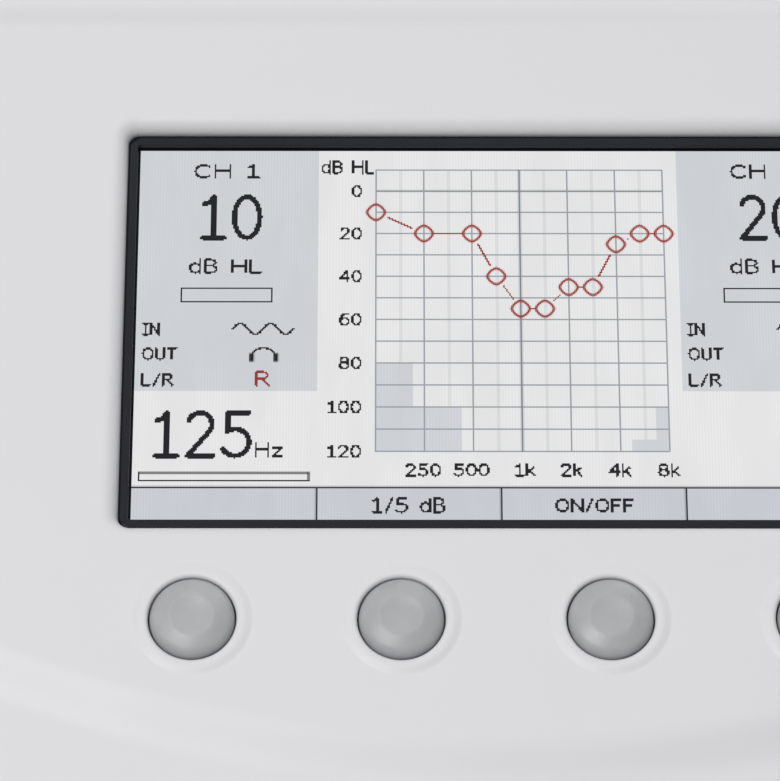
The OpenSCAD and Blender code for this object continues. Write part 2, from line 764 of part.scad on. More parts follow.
// Key boards
module board(side, low, high, posts) {
  difference() {
    translate([-side, low, 0]) cube([2 * side, high - low, board_t]);
    for (p = posts) translate([p.x, p.y, -cut]) cylinder(h = board_t + 2 * cut, r = pilot_r + hole_gap);
  }
}
module upper_key_board() {
  color(board_c) on_deck(0, 0, -board_drop - board_t)
    board(soft_board_u, -soft_board_near, -soft_board_far, UPPER_POSTS);
}
module lower_key_board() {
  color(board_c) on_lower(0, 0, -board_drop - board_t) board(board_u, -board_near, -board_far, LOWER_POSTS);
}

// Knobs and encoders
knob_low = 0.8;
knob_top = knob_low + knob_h;
knob_hollow_r = 9;
knob_hollow = 5.2;
grip_low = 2.6;
grip_high = knob_low + knob_h * 0.72;
core_r = knob_r - grip_w;
skirt_r = knob_r - 0.4;
skirt_chamfer = 0.4;
crown_in = 1.5;
crown_drop = 3;
hub_r = shaft_r + hub_gap;
shaft_top = knob_top - 3.6;
nut_r = 7;
// A shallow round mark in the knob's top shows which way it points
mark_out = knob_r * 0.52;
mark_ball = 12;
mark_deep = 1.6;
function crown_point(a) = [core_r - crown_in * (1 - cos(a)), knob_top - crown_drop * (1 - sin(a))];
module knob(p) {
  color(shell_c) on_lower(p.x, p.y) difference() {
    rotate_extrude($fn = 96) polygon(concat(
      [[knob_hollow_r, knob_low], [skirt_r - skirt_chamfer, knob_low], [skirt_r, knob_low + skirt_chamfer]],
      [[skirt_r, grip_low], [core_r, grip_low]],
      [for (k = [0 : 6]) crown_point(15 * k)],
      [[0, knob_top], [0, shaft_top + fit], [hub_r, shaft_top + fit]],
      [[hub_r, knob_low + knob_hollow], [knob_hollow_r, knob_low + knob_hollow]]
    ));
    translate([0, mark_out, knob_top + mark_ball - mark_deep]) sphere(r = mark_ball, $fn = 96);
  }
}
flute_r = 1.2;
module knob_grip(p) {
  color([0.3, 0.3, 0.31]) on_lower(p.x, p.y, grip_low + fit) difference() {
    cylinder(h = grip_high - grip_low - 2 * fit, r = knob_r, $fn = 96);
    translate([0, 0, -cut]) cylinder(h = knob_h, r = core_r + fit, $fn = 96);
    for (i = [0 : flutes - 1])
      rotate(i * 360 / flutes) translate([knob_r + 0.5, 0, -cut]) cylinder(h = knob_h, r = flute_r);
  }
}
bushing_top = 4.4;
encoder_w = 13.4;
encoder_gap = 0.6;
shaft_low = board_drop - 1.4;
shaft_end_gap = 0.2;
module encoder(p) {
  color(steel_c) on_lower(p.x, p.y) difference() {
    union() {
      translate([0, 0, -board_drop + fit]) block(encoder_w, encoder_w, board_drop - wall - encoder_gap - fit);
      translate([0, 0, -wall - 1]) cylinder(h = bushing_top + wall + 1, r = bushing_r);
    }
    translate([0, 0, -shaft_low - shaft_end_gap])
      cylinder(h = board_drop + bushing_top + cut, r = shaft_r + run_gap);
  }
}
module encoder_shaft(p) {
  color(steel_c) on_lower(p.x, p.y, -shaft_low) cylinder(h = shaft_low + shaft_top, r = shaft_r);
}
module nut(r, bore, h) {
  difference() {
    cylinder(h = h, r = r, $fn = 6);
    translate([0, 0, -cut]) cylinder(h = h + 2 * cut, r = bore);
  }
}
module encoder_nuts() {
  color(steel_c) for (p = KNOBS) on_lower(p.x, p.y, fit) nut(nut_r, bushing_r + fit, nut_t);
}

// Speaker and microphone
hole_pitch = 3.1;
holes_out = 14.5;
grille_hole_r = 0.9;
grille_sink = 0.4;
grille_deep = 1.7;
grille_rim = 1.5;
grille_lap = 2.5;
grille_low = wall + 1;
GRILLE_HOLES = [
  for (i = [-6 : 6])
    for (j = [-6 : 6])
      let (p = hole_pitch * [i + j / 2, j * sqrt(3) / 2])
      if (norm(p) < holes_out) p
];
module speaker_grille() {
  inner_r = grille_r - grille_rim;
  outer_r = grille_r + grille_lap;
  color(black_c) on_deck(side_spot, spot_v) difference() {
    rotate_extrude($fn = 96) polygon([
      [0, -grille_deep], [inner_r, -grille_deep], [inner_r, -grille_low], [outer_r, -grille_low],
      [outer_r, -wall - fit], [grille_r, -wall - fit], [grille_r, -grille_sink], [0, -grille_sink]
    ]);
    for (p = GRILLE_HOLES) translate([p.x, p.y, -wall]) cylinder(h = wall + cut, r = grille_hole_r, $fn = 24);
  }
}
// Speaker: magnet, basket and a dished cone
speaker_r = grille_r + 1;
speaker_l = 11;
magnet_r = 9;
magnet_h = 4.5 - speaker_l;
cone_r = 13.5;
module speaker() {
  color([0.15, 0.15, 0.16]) on_deck(side_spot, spot_v, -grille_low - fit) rotate_extrude() polygon([
    [0, -speaker_l], [magnet_r, -speaker_l], [magnet_r, magnet_h], [magnet_r + 3, magnet_h],
    [speaker_r - 3, -1.5], [speaker_r, -1.2], [speaker_r, 0], [cone_r + 2, 0], [cone_r, -1.4],
    [5, -4.2], [4, -3.4], [0, -2.6]
  ]);
}
mic_body_r = 4.8;
mic_l = 6;
mic_sink = 0.4;
module talkover_mic() {
  color(black_c) on_deck(-side_spot, spot_v) difference() {
    union() {
      translate([0, 0, -wall - mic_l]) cylinder(h = mic_l - fit, r = mic_body_r);
      translate([0, 0, -wall - 1]) cylinder(h = wall + 1 - mic_sink, r = mic_r);
    }
    translate([0, 0, -wall]) cylinder(h = wall, r = 0.8);
  }
}

// Main board and what it carries
plug_d = 5.5;
plug_rim = 4;
processor = [17, 17, 1.4];
memory = [12, 10, 1.2];
amplifier = [8, 6, 1.5];
amplifier_pitch = 15;
coil = [14, 14, 9];
capacitor_r = 5;
capacitor_h = 11;
capacitor_pitch = 13;
can_size = [42, 34, 6];
shield_t = 0.4;
parts_x = 32 - main_side;
module main_board() {
  color(board_c) translate([0, 0, main_low]) board(main_side, main_front, main_rear, MAIN_POSTS);
}
module chip(x, y, size) { translate([x, y, main_z]) block(size.x, size.y, size.z); }
module main_board_parts() {
  color([0.16, 0.16, 0.17]) {
    chip(0, flex_y, [flex_w + plug_rim, plug_d, plug_h]);
    chip(soft_ribbon_x, soft_ribbon_y, [soft_ribbon_w + plug_rim, plug_d, plug_h]);
    chip(key_ribbon_x, key_ribbon_y, [key_ribbon_w + plug_rim, plug_d, plug_h]);
    chip(-30, main_front + 58, processor);
    chip(-58, main_front + 54, memory);
    for (i = [0 : 3]) chip(parts_x + i * amplifier_pitch, main_front + 26, amplifier);
    for (i = [0 : 1])
      translate([parts_x + i * capacitor_pitch, main_front + 80, main_z])
        cylinder(h = capacitor_h, r = capacitor_r);
    chip(main_side - 36, main_front + 78, coil);
  }
}
module shield_can() {
  color(steel_c) translate([main_side - 58, main_front + 44, main_z]) difference() {
    block(can_size.x, can_size.y, can_size.z);
    translate([0, 0, -cut])
      block(can_size.x - 2 * shield_t, can_size.y - 2 * shield_t, can_size.z - shield_t + cut);
  }
}

// Rear sockets
socket_in = rear_in - fit;
// A socket's body on the main board with its round nose through the rear panel
module socket_body(x, w, l, nose_r, nose_l) {
  translate([x - w / 2, socket_in - l, socket_z - jack_h / 2]) cube([w, l, jack_h]);
  along_rear(x, socket_in - cut, socket_z) cylinder(h = cut + fit + rear_t + nose_l, r = nose_r);
}
module jack(x, w, l, nose_r, bore_r) {
  color(black_c) difference() {
    socket_body(x, w, l, nose_r, nose_out);
    along_rear(x, socket_in - l + jack_back, socket_z) cylinder(h = l + rear_t + nose_out + cut, r = bore_r);
  }
}
module big_jack(i) { jack(JACK_X[i], jack_w, jack_l, jack_nose_r, jack_bore_r); }
module talkback_jack() { jack(talk_x, small_w, small_l, small_nose_r, small_bore_r); }
module rear_nut(x, nose_r, r) { along_rear(x, rear_y + fit, socket_z) nut(r, nose_r + fit, nut_t); }
module jack_nuts() {
  color(steel_c) {
    for (x = JACK_X) rear_nut(x, jack_nose_r, jack_nose_r + 2.1);
    rear_nut(talk_x, small_nose_r, small_nose_r + 1.6);
  }
}
dc_out = 0.5;
dc_pin_r = 1;
module dc_inlet() {
  color(black_c) {
    difference() {
      socket_body(-dc_x, dc_w, dc_l, dc_nose_r, dc_out);
      along_rear(-dc_x, socket_in - dc_deep, socket_z) cylinder(h = dc_l + rear_t + cut, r = dc_bore_r);
    }
    along_rear(-dc_x, socket_in - dc_deep - 1, socket_z) cylinder(h = dc_deep + 1.6, r = dc_pin_r);
  }
}
usb_t = 0.3;
usb_tongue = [6.7, 0.7, 7];
module usb_socket() {
  color(steel_c) translate([-usb_x, rear_y - usb_l, main_z + usb_h / 2]) rotate([-90, 0, 0]) {
    difference() {
      slot(usb_w, usb_h, usb_l);
      translate([0, 0, 1]) slot(usb_w - 2 * usb_t, usb_h - 2 * usb_t, usb_l);
    }
    block(usb_tongue.x, usb_tongue.y, usb_tongue.z);
  }
}

// Power switch: a flanged housing and a rocker on a pin
flange_rim = 1.05;
switch_flange_t = 1.4;
rocker_room = 0.8;
rocker_deep = 6.6;
pivot_l = rocker_d + 1.3;
pivot_gap = 0.1;
rocker_foot = 2.6;
rocker_low = 2.2;
rocker_edge = 3.9;
rocker_dip = 3.3;
rocker_root = 0.6;
module power_switch_body() {
  room_w = rocker_w + 2 * rocker_room;
  color(black_c) translate([-switch_x, rear_y + fit, socket_z]) difference() {
    union() {
      translate([-switch_w / 2 - flange_rim, 0, -switch_d / 2 - flange_rim - 0.05])
        cube([switch_w + 2 * flange_rim, switch_flange_t, switch_d + 2 * flange_rim + 0.1]);
      translate([-switch_w / 2, -switch_l, -switch_d / 2]) cube([switch_w, switch_l, switch_d]);
    }
    translate([-room_w / 2, -rocker_deep, -rocker_d / 2 - 0.15]) cube([room_w, 10, rocker_d + 0.3]);
    translate([0, pivot_y - rear_y - fit, -pivot_l / 2 - pivot_gap])
      cylinder(h = pivot_l + 2 * pivot_gap, r = pivot_r + run_gap);
  }
}
module power_rocker() {
  side = rocker_w / 2;
  color([0.09, 0.09, 0.1]) translate([-switch_x, pivot_y, socket_z]) rotate(rocker_tilt) {
    translate([0, 0, -rocker_d / 2]) linear_extrude(rocker_d) polygon([
      [-side, rocker_root], [-rocker_foot, -rocker_low], [rocker_foot, -rocker_low], [side, rocker_root],
      [side, rocker_edge], [0, rocker_dip], [-side, rocker_edge]
    ]);
    translate([0, 0, -pivot_l / 2]) cylinder(h = pivot_l, r = pivot_r);
  }
}

// Feet and fasteners
module rubber_feet() {
  color([0.12, 0.12, 0.12]) for (p = FEET) translate([p.x, p.y, 0]) {
    cylinder(h = foot_chamfer, r1 = foot_r - foot_chamfer, r2 = foot_r);
    translate([0, 0, foot_chamfer]) cylinder(h = foot_h + foot_sink - foot_chamfer, r = foot_r);
  }
}
// A screw that points up, from the underside of its head, with a hexagon socket
module screw(head_radius, head_l, radius, l, key_radius, key_deep) {
  difference() {
    union() {
      cylinder(h = head_l, r = head_radius);
      cylinder(h = head_l + l, r = radius);
    }
    translate([0, 0, -cut]) cylinder(h = cut + key_deep, r = key_radius, $fn = 6);
  }
}
case_screw_l = meet_z + insert_l - foot_h - head_sink - 1;
module case_screws() {
  color(steel_c) for (p = CASE_POSTS)
    translate([p.x, p.y, foot_h + head_sink - head_h]) screw(head_r, head_h, m3_r, case_screw_l, 1.4, 1.3);
}
module board_screw() {
  translate([0, 0, -screw_head_h]) screw(screw_head_r, screw_head_h, screw_r, screw_l, 0.9, 0.8);
}
module board_screws() {
  color(steel_c) {
    for (p = UPPER_POSTS) on_deck(p.x, p.y, -board_drop - board_t) board_screw();
    for (p = LOWER_POSTS) on_lower(p.x, p.y, -board_drop - board_t) board_screw();
    for (p = EARS) on_deck(p.x, p.y, -bracket_top - bracket_t) board_screw();
    for (p = MAIN_POSTS) translate([p.x, p.y, main_z]) rotate([180, 0, 0]) board_screw();
  }
}
module brass_inserts() {
  color([0.8, 0.62, 0.28]) for (p = CASE_POSTS) translate([p.x, p.y, meet_z]) difference() {
    cylinder(h = insert_l, r = insert_r);
    translate([0, 0, -cut]) cylinder(h = insert_l + 2 * cut, r = m3_r + fit);
  }
}

top_shell();
bottom_shell();
rear_panel();
screen_bezel();
lcd_glass();
lcd_backlight();
lcd_frame();
lcd_bracket();
lcd_flex();
soft_key(0);  // softkey_1
soft_key(1);  // softkey_2
soft_key(2);  // softkey_3
soft_key(3);  // softkey_4
low_key(CH1_KEYS[0]);  // ch1_input_key
low_key(CH1_KEYS[1]);  // ch1_output_key
low_key(CH1_KEYS[2]);  // ch1_side_key
low_key(CH2_KEYS[0]);  // ch2_input_key
low_key(CH2_KEYS[1]);  // ch2_output_key
low_key(CH2_KEYS[2]);  // ch2_side_key
low_key(FREQ[0]);  // freq_down_key
low_key(FREQ[1]);  // freq_up_key
low_key(FREQ[2]);  // store_key
tone_key(TONE[0]);  // ch1_tone_key
tone_key(TONE[1]);  // ch2_tone_key
tone_lamps();
knob(KNOBS[0]);  // ch1_knob
knob(KNOBS[1]);  // ch2_knob
knob_grip(KNOBS[0]);  // ch1_knob_grip
knob_grip(KNOBS[1]);  // ch2_knob_grip
encoder_shaft(KNOBS[0]);  // ch1_encoder_shaft
encoder_shaft(KNOBS[1]);  // ch2_encoder_shaft
encoder(KNOBS[0]);  // ch1_encoder
encoder(KNOBS[1]);  // ch2_encoder
encoder_nuts();
softkey_switches();
lower_key_switches();
tone_switches();
upper_key_board();
lower_key_board();
main_board();
main_board_parts();
shield_can();
ribbon_cables();
speaker();
speaker_grille();
talkover_mic();
power_switch_body();
power_rocker();
dc_inlet();
usb_socket();
big_jack(0);  // phones_left_jack
big_jack(1);  // phones_right_jack
big_jack(2);  // bone_jack
big_jack(3);  // response_jack
talkback_jack();
jack_nuts();
rubber_feet();
case_screws();
board_screws();
brass_inserts();
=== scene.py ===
import json
import math

import bpy
import numpy as np
from mathutils import Matrix, Vector

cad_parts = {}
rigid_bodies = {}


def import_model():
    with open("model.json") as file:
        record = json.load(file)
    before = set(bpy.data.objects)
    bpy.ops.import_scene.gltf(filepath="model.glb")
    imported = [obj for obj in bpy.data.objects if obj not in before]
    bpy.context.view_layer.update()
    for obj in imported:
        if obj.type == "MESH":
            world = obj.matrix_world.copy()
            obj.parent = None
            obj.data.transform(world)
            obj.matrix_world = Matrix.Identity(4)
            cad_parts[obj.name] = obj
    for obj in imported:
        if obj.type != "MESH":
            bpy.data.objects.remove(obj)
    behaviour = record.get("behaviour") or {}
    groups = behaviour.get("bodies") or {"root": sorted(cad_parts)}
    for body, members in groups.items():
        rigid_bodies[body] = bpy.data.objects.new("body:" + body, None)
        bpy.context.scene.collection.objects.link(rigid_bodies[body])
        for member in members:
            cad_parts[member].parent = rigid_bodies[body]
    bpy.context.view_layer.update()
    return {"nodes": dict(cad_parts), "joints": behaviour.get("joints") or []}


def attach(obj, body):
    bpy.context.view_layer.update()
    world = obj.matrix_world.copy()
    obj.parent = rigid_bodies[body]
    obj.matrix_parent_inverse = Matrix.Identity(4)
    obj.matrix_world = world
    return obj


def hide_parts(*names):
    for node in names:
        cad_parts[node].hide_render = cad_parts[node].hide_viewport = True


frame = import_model()
sceneItems = bpy.context.scene.collection.objects
print("frame:", len(frame["nodes"]), "nodes")

# Shapes are worked out in millimetres and scaled to metres when a piece is settled
mm = 0.001
wholeTurn = 2 * math.pi
pressAxis = next(j["axis"] for j in frame["joints"] if j["name"] == "softkey_1_press")
deckOut = -Vector(pressAxis).normalized()
deckUp = deckOut.cross(Vector((1, 0, 0)))  # up the slope
deckAxes = np.array([(1, 0, 0), deckUp, deckOut])


def nodePoints(node):
    mesh = frame["nodes"][node].data
    points = np.empty(len(mesh.vertices) * 3)
    mesh.vertices.foreach_get("co", points)
    return points.reshape(-1, 3) / mm


def nodeBox(node):
    points = nodePoints(node)
    return points.min(0), points.max(0)


# u, v and h are right, up the slope and out of the deck, from the window's middle
landSink = 2.2  # the black land lies this far below the deck
landPoints = nodePoints("screen_bezel") @ deckAxes.T
landMiddle = (landPoints.min(0) + landPoints.max(0)) / 2
deckOrigin = np.array([landMiddle[0], landMiddle[1], landPoints[:, 2].max() + landSink]) @ deckAxes


def onDeck(points, spot=(0, 0, 0)):
    return (np.asarray(points, float) + spot) @ deckAxes + deckOrigin


def deckBox(node):
    points = (nodePoints(node) - deckOrigin) @ deckAxes.T
    return points.min(0), points.max(0)


def deckSpot(node, under):  # the middle of a node, and the deck level that its lowest point is under
    low, high = deckBox(node)
    return np.array([(low[0] + high[0]) / 2, (low[1] + high[1]) / 2, low[2] + under])


# Node trees
def addNode(tree, kind, inputs=None, **settings):
    made = tree.nodes.new(kind)
    for name, value in settings.items():
        setattr(made, name, value)
    for name, value in (inputs or {}).items():
        if isinstance(value, bpy.types.NodeSocket):
            tree.links.new(value, made.inputs[name])
        else:
            made.inputs[name].default_value = value
    return made


def spread(tree, factor, low, high, start=0.0, end=1.0):  # turns start to end into low to high
    return addNode(tree, "ShaderNodeMapRange", {"Value": factor, "From Min": start, "From Max": end,
                                                "To Min": low, "To Max": high}).outputs[0]


def reckon(tree, way, first, second):
    return addNode(tree, "ShaderNodeMath", {0: first, 1: second}, operation=way).outputs[0]


def stripes(tree, place, pitch, axis):  # waves from 0 to 1 that repeat at a pitch in millimetres
    scale = wholeTurn / 20 / (pitch * mm)
    return addNode(tree, "ShaderNodeTexWave", {"Vector": place, "Scale": scale}, bands_direction=axis).outputs["Fac"]


def cloud(tree, place, size, detail=2.0, stretch=(1, 1, 1)):  # noise with features of a size in millimetres
    shrunk = [side * 1000 / size for side in stretch]
    mapped = addNode(tree, "ShaderNodeMapping", {"Vector": place, "Scale": shrunk}).outputs[0]
    return addNode(tree, "ShaderNodeTexNoise", {"Vector": mapped, "Scale": 1.0, "Detail": detail}).outputs["Fac"]


def blendColour(tree, factor, first, second):
    mixer = addNode(tree, "ShaderNodeMix", {"Factor": factor}, data_type="RGBA")
    for index, colour in ((6, first), (7, second)):
        if isinstance(colour, bpy.types.NodeSocket):
            tree.links.new(colour, mixer.inputs[index])
        else:
            mixer.inputs[index].default_value = (*colour, 1)
    return mixer.outputs[2]


def startFinish(name, metallic=0.0, specular=0.5):
    material = bpy.data.materials.new(name)
    material.use_nodes = True
    tree = material.node_tree
    shader = tree.nodes["Principled BSDF"]
    shader.inputs["Metallic"].default_value = metallic
    shader.inputs["Specular IOR Level"].default_value = specular
    place = addNode(tree, "ShaderNodeTexCoord").outputs["Object"]
    return material, tree, shader, place


def roughen(tree, shader, height, depth, strength=1.0):  # depth in millimetres
    bump = addNode(tree, "ShaderNodeBump", {"Height": height, "Distance": depth * mm, "Strength": strength})
    tree.links.new(bump.outputs[0], shader.inputs["Normal"])


def mouldedFinish(name, colour, tone=0.02, patch=25, rough=(0.4, 0.5), smear=9, grain=0.25, depth=0.004,
                  specular=0.5, metallic=0.0, stretch=(1, 1, 1)):
    material, tree, shader, place = startFinish(name, metallic, specular)
    darker = [channel * (1 - tone) for channel in colour]
    lighter = [channel * (1 + tone) for channel in colour]
    tinted = blendColour(tree, cloud(tree, place, patch, 4), darker, lighter)
    tree.links.new(tinted, shader.inputs["Base Color"])
    tree.links.new(spread(tree, cloud(tree, place, smear, 3, stretch), *rough), shader.inputs["Roughness"])
    roughen(tree, shader, cloud(tree, place, grain, 2, stretch), depth)
    return material


# Name, colour, change of tone, size of its patches, roughness, size of its smears, size and depth of the grain,
# specular level, metallic and stretch
finishes = {
    "case_plastic": mouldedFinish("casePlastic", (0.745, 0.739, 0.757), 0.012, 40, (0.42, 0.5), 14, 0.35, 0.003),
    "knob_plastic": mouldedFinish("knobPlastic", (0.72, 0.72, 0.72), 0.015, 20, (0.4, 0.48), 8, 0.3, 0.003),
    "grip_rubber": mouldedFinish("gripRubber", (0.075, 0.075, 0.08), 0.12, 3, (0.68, 0.82), 3, 0.25, 0.02, 0.3),
    "black_gloss": mouldedFinish("blackGloss", (0.008, 0.009, 0.014), 0.4, 9, (0.1, 0.26), 5, 2.0, 0.0008, 0.12),
    "black_plastic": mouldedFinish("blackPlastic", (0.022, 0.022, 0.024), 0.15, 8, (0.42, 0.56), 5, 0.3, 0.008),
    "diffuser": mouldedFinish("diffuser", (0.82, 0.82, 0.8), 0.02, 6, (0.5, 0.6), 4, 0.5, 0.002),
    "steel": mouldedFinish("plateSteel", (0.5, 0.5, 0.52), 0.08, 5, (0.28, 0.42), 2, 0.6, 0.003, 0.5, 1.0, (1, 6, 6)),
    "shaft_steel": mouldedFinish("shaftSteel", (0.56, 0.56, 0.58), 0.05, 3, (0.2, 0.3), 1, 0.2, 0.002, 0.5, 1.0,
                                 (1, 1, 8)),
    "nickel": mouldedFinish("nickelPlate", (0.62, 0.6, 0.57), 0.06, 3, (0.16, 0.3), 2, 0.5, 0.002, 0.5, 1.0),
    "part_black": mouldedFinish("partBlack", (0.03, 0.03, 0.032), 0.2, 4, (0.5, 0.65), 3, 0.2, 0.006),
    "switch_plastic": mouldedFinish("switchPlastic", (0.6, 0.58, 0.5), 0.04, 4, (0.45, 0.55), 3, 0.3, 0.004),
    "foot_rubber": mouldedFinish("footRubber", (0.022, 0.022, 0.022), 0.2, 5, (0.75, 0.9), 4, 0.4, 0.02, 0.25),
    "brass": mouldedFinish("turnedBrass", (0.6, 0.42, 0.16), 0.08, 2, (0.25, 0.38), 1, 0.2, 0.003, 0.5, 1.0),
}


def handledFinish():  # satin grey caps with the smears and specks that fingers leave
    look = {"colour": (0.375, 0.383, 0.395), "smear": (0.43, 0.438, 0.45), "speck": (0.28, 0.285, 0.29)}
    material, tree, shader, place = startFinish("keyPlastic")
    smears = spread(tree, cloud(tree, place, 3.2, 5), -0.6, 1.6)
    worn = blendColour(tree, smears, look["colour"], look["smear"])
    specks = spread(tree, cloud(tree, place, 0.5, 3), 0.0, 1.0, 0.7, 0.78)
    tree.links.new(blendColour(tree, specks, worn, look["speck"]), shader.inputs["Base Color"])
    tree.links.new(spread(tree, cloud(tree, place, 2.4, 4), 0.3, 0.5), shader.inputs["Roughness"])
    roughen(tree, shader, cloud(tree, place, 0.3, 3), 0.005)
    return material


def stripedFinish(name, colours, pitch, axis, rough):
    material, tree, shader, place = startFinish(name)
    waves = stripes(tree, place, pitch, axis)
    sharp = spread(tree, waves, 0.0, 1.0, 0.35, 0.65)
    tree.links.new(blendColour(tree, sharp, *colours), shader.inputs["Base Color"])
    tree.links.new(spread(tree, cloud(tree, place, 4), *rough), shader.inputs["Roughness"])
    roughen(tree, shader, waves, 0.05)
    return material


def boardFinish():  # green mask over copper tracks
    material, tree, shader, place = startFinish("circuitBoard")
    scaled = addNode(tree, "ShaderNodeMapping", {"Vector": place, "Scale": (400, 400, 0)}).outputs[0]
    cells = addNode(tree, "ShaderNodeTexVoronoi", {"Vector": scaled, "Randomness": 0.6},
                    distance="CHEBYCHEV", feature="F1").outputs["Distance"]
    copper = spread(tree, reckon(tree, "PINGPONG", cells, 0.12), 0.0, 1.0, 0.05, 0.07)
    tree.links.new(blendColour(tree, copper, (0.012, 0.1, 0.04), (0.02, 0.15, 0.06)), shader.inputs["Base Color"])
    tree.links.new(spread(tree, cloud(tree, place, 5), 0.25, 0.4), shader.inputs["Roughness"])
    roughen(tree, shader, copper, 0.03)
    return material


def glowFinish(name, colour, strength):
    material, tree, shader, place = startFinish(name)
    tinted = blendColour(tree, cloud(tree, place, 1.5), colour, [channel * 0.85 for channel in colour])
    for socket in ("Base Color", "Emission Color"):
        tree.links.new(tinted, shader.inputs[socket])
    shader.inputs["Emission Strength"].default_value = strength
    shader.inputs["Roughness"].default_value = 0.3
    return material


def pictureFinish():  # the lit screen: its colours are on the mesh, under a faint weave of columns
    look = {"dots": 0.396, "deep": 0.07, "level": 0.975}
    material, tree, shader, place = startFinish("litScreen", 0.0, 0.06)
    painted = addNode(tree, "ShaderNodeVertexColor", layer_name="picture").outputs["Color"]
    where = spread(tree, cloud(tree, place, 5, 2, (1, 0.3, 0.3)), 0.0, look["deep"], 0.4, 0.6)
    ripple = reckon(tree, "MULTIPLY", stripes(tree, place, look["dots"], "X"), where)
    patches = cloud(tree, place, 22, 2)
    broad = spread(tree, patches, look["level"] - 0.03, look["level"] + 0.02)
    level = reckon(tree, "ADD", ripple, broad)
    lit = addNode(tree, "ShaderNodeVectorMath", {0: painted, "Scale": level}, operation="SCALE").outputs[0]
    tree.links.new(lit, shader.inputs["Emission Color"])
    shader.inputs["Emission Strength"].default_value = 1.0
    shader.inputs["Base Color"].default_value = (0.003, 0.003, 0.004, 1)
    tree.links.new(spread(tree, patches, 0.35, 0.45), shader.inputs["Roughness"])
    return material


finishes["key_plastic"] = handledFinish()
finishes["flex_amber"] = stripedFinish("amberFlex", ((0.4, 0.15, 0.02), (0.55, 0.25, 0.06)), 1.0, "X", (0.3, 0.4))
finishes["ribbon_grey"] = stripedFinish("greyRibbon", ((0.2, 0.2, 0.21), (0.36, 0.36, 0.38)), 1.27, "X", (0.4, 0.5))
finishes["board"] = boardFinish()
finishes["lamp"] = glowFinish("amberLamp", (0.8, 0.36, 0.06), 0.25)
finishes["glass"] = pictureFinish()

slotOf = {}
for node, item in frame["nodes"].items():
    for index, used in enumerate(item.material_slots):
        slotOf[node] = used.material.name.split(".")[0]
        item.material_slots[index].material = finishes[slotOf[node]]
print("finishes:", len(finishes))


# Meshes
def makePiece(name, points, faces):
    mesh = bpy.data.meshes.new(name)
    mesh.from_pydata([tuple(point) for point in points], [], [tuple(face) for face in faces])
    piece = bpy.data.objects.new(name, mesh)
    sceneItems.link(piece)
    return piece


def sides(count, rows, wrap=False):  # quads between rings of count points each
    faces = []
    for row in range(rows if wrap else rows - 1):
        low, high = row * count, (row + 1) % rows * count
        faces += [(low + i, low + (i + 1) % count, high + (i + 1) % count, high + i) for i in range(count)]
    return faces


def skin(rings):  # a closed solid through rings, from the lowest to the highest
    count, rows = len(rings[0]), len(rings)
    ends = [range(count - 1, -1, -1), range((rows - 1) * count, rows * count)]
    return np.concatenate(rings), sides(count, rows) + ends


def hoop(rings):  # a closed ring: up its outside, across, down its inside
    return np.concatenate(rings), sides(len(rings[0]), len(rings), True)


def circle(radius, z, steps):
    angles = np.arange(steps) * wholeTurn / steps
    return np.column_stack([radius * np.cos(angles), radius * np.sin(angles), np.full(steps, z)])


def revolve(profile, steps=64):  # radius and height, from the lower pole out and up to the upper one
    rings = [circle(r, z, steps) for r, z in profile if r > 0]
    if profile[0][0] > 0:
        return hoop(rings)
    body = np.concatenate(rings)
    first, last, top = len(body), len(body) + 1, (len(rings) - 1) * steps
    poles = [(0, 0, profile[0][1]), (0, 0, profile[-1][1])]
    faces = sides(steps, len(rings))
    faces += [(first, (i + 1) % steps, i) for i in range(steps)]
    faces += [(last, top + i, top + (i + 1) % steps) for i in range(steps)]
    return np.concatenate([body, poles]), faces


def roundCorner(middle, radius, start, end, steps=6):  # an arc in a profile, in degrees
    angles = np.radians(np.linspace(start, end, steps + 1))
    return [(middle[0] + radius * math.cos(a), middle[1] + radius * math.sin(a)) for a in angles]


def softLeast(first, second, width):  # the lesser of two measures, with the edge between them rounded
    return -width * np.logaddexp(-np.asarray(first) / width, -np.asarray(second) / width)


def boxSolid(low, high):
    corners = [(low, low), (high, low), (high, high), (low, high)]
    return skin([np.array([(a[0], b[1], z) for a, b in corners]) for z in (low[2], high[2])])


def rod(spot, radius, low, high, steps=48, deck=True):
    points, faces = revolve([(0, low), (radius, low), (radius, high), (0, high)], steps)
    return (onDeck(points, spot) if deck else points + spot), faces


def post(spot, radius, low, high, steps=32):  # a rod that stands upright, not square to the deck
    return rod((spot[0], spot[1], 0), radius, low, high, steps, False)


def joined(parts):  # one mesh from several
    points, faces = [], []
    for partPoints, partFaces in parts:
        first = sum(len(part) for part in points)
        points.append(partPoints)
        faces += [tuple(corner + first for corner in face) for face in partFaces]
    return np.concatenate(points), faces


def vertexPoints(mesh):
    return np.array([vertex.co for vertex in mesh.vertices])


def movePoints(piece, place):
    piece.data.vertices.foreach_set("co", place(vertexPoints(piece.data)).ravel())
    piece.data.update()


def evaluated(piece):
    return bpy.data.meshes.new_from_object(piece.evaluated_get(bpy.context.evaluated_depsgraph_get()))


def combine(piece, tools, way):  # joins tools to a piece, or cuts them from it
    group = bpy.data.collections.new(way)
    items = [makePiece("tool", *tool) for tool in tools]
    for item in items:
        group.objects.link(item)
    modifier = piece.modifiers.new(way, "BOOLEAN")
    modifier.operation, modifier.operand_type, modifier.collection = way, "COLLECTION", group
    modifier.solver = "EXACT"
    piece.data = evaluated(piece)
    piece.modifiers.clear()
    for item in items:
        bpy.data.objects.remove(item)
    bpy.data.collections.remove(group)


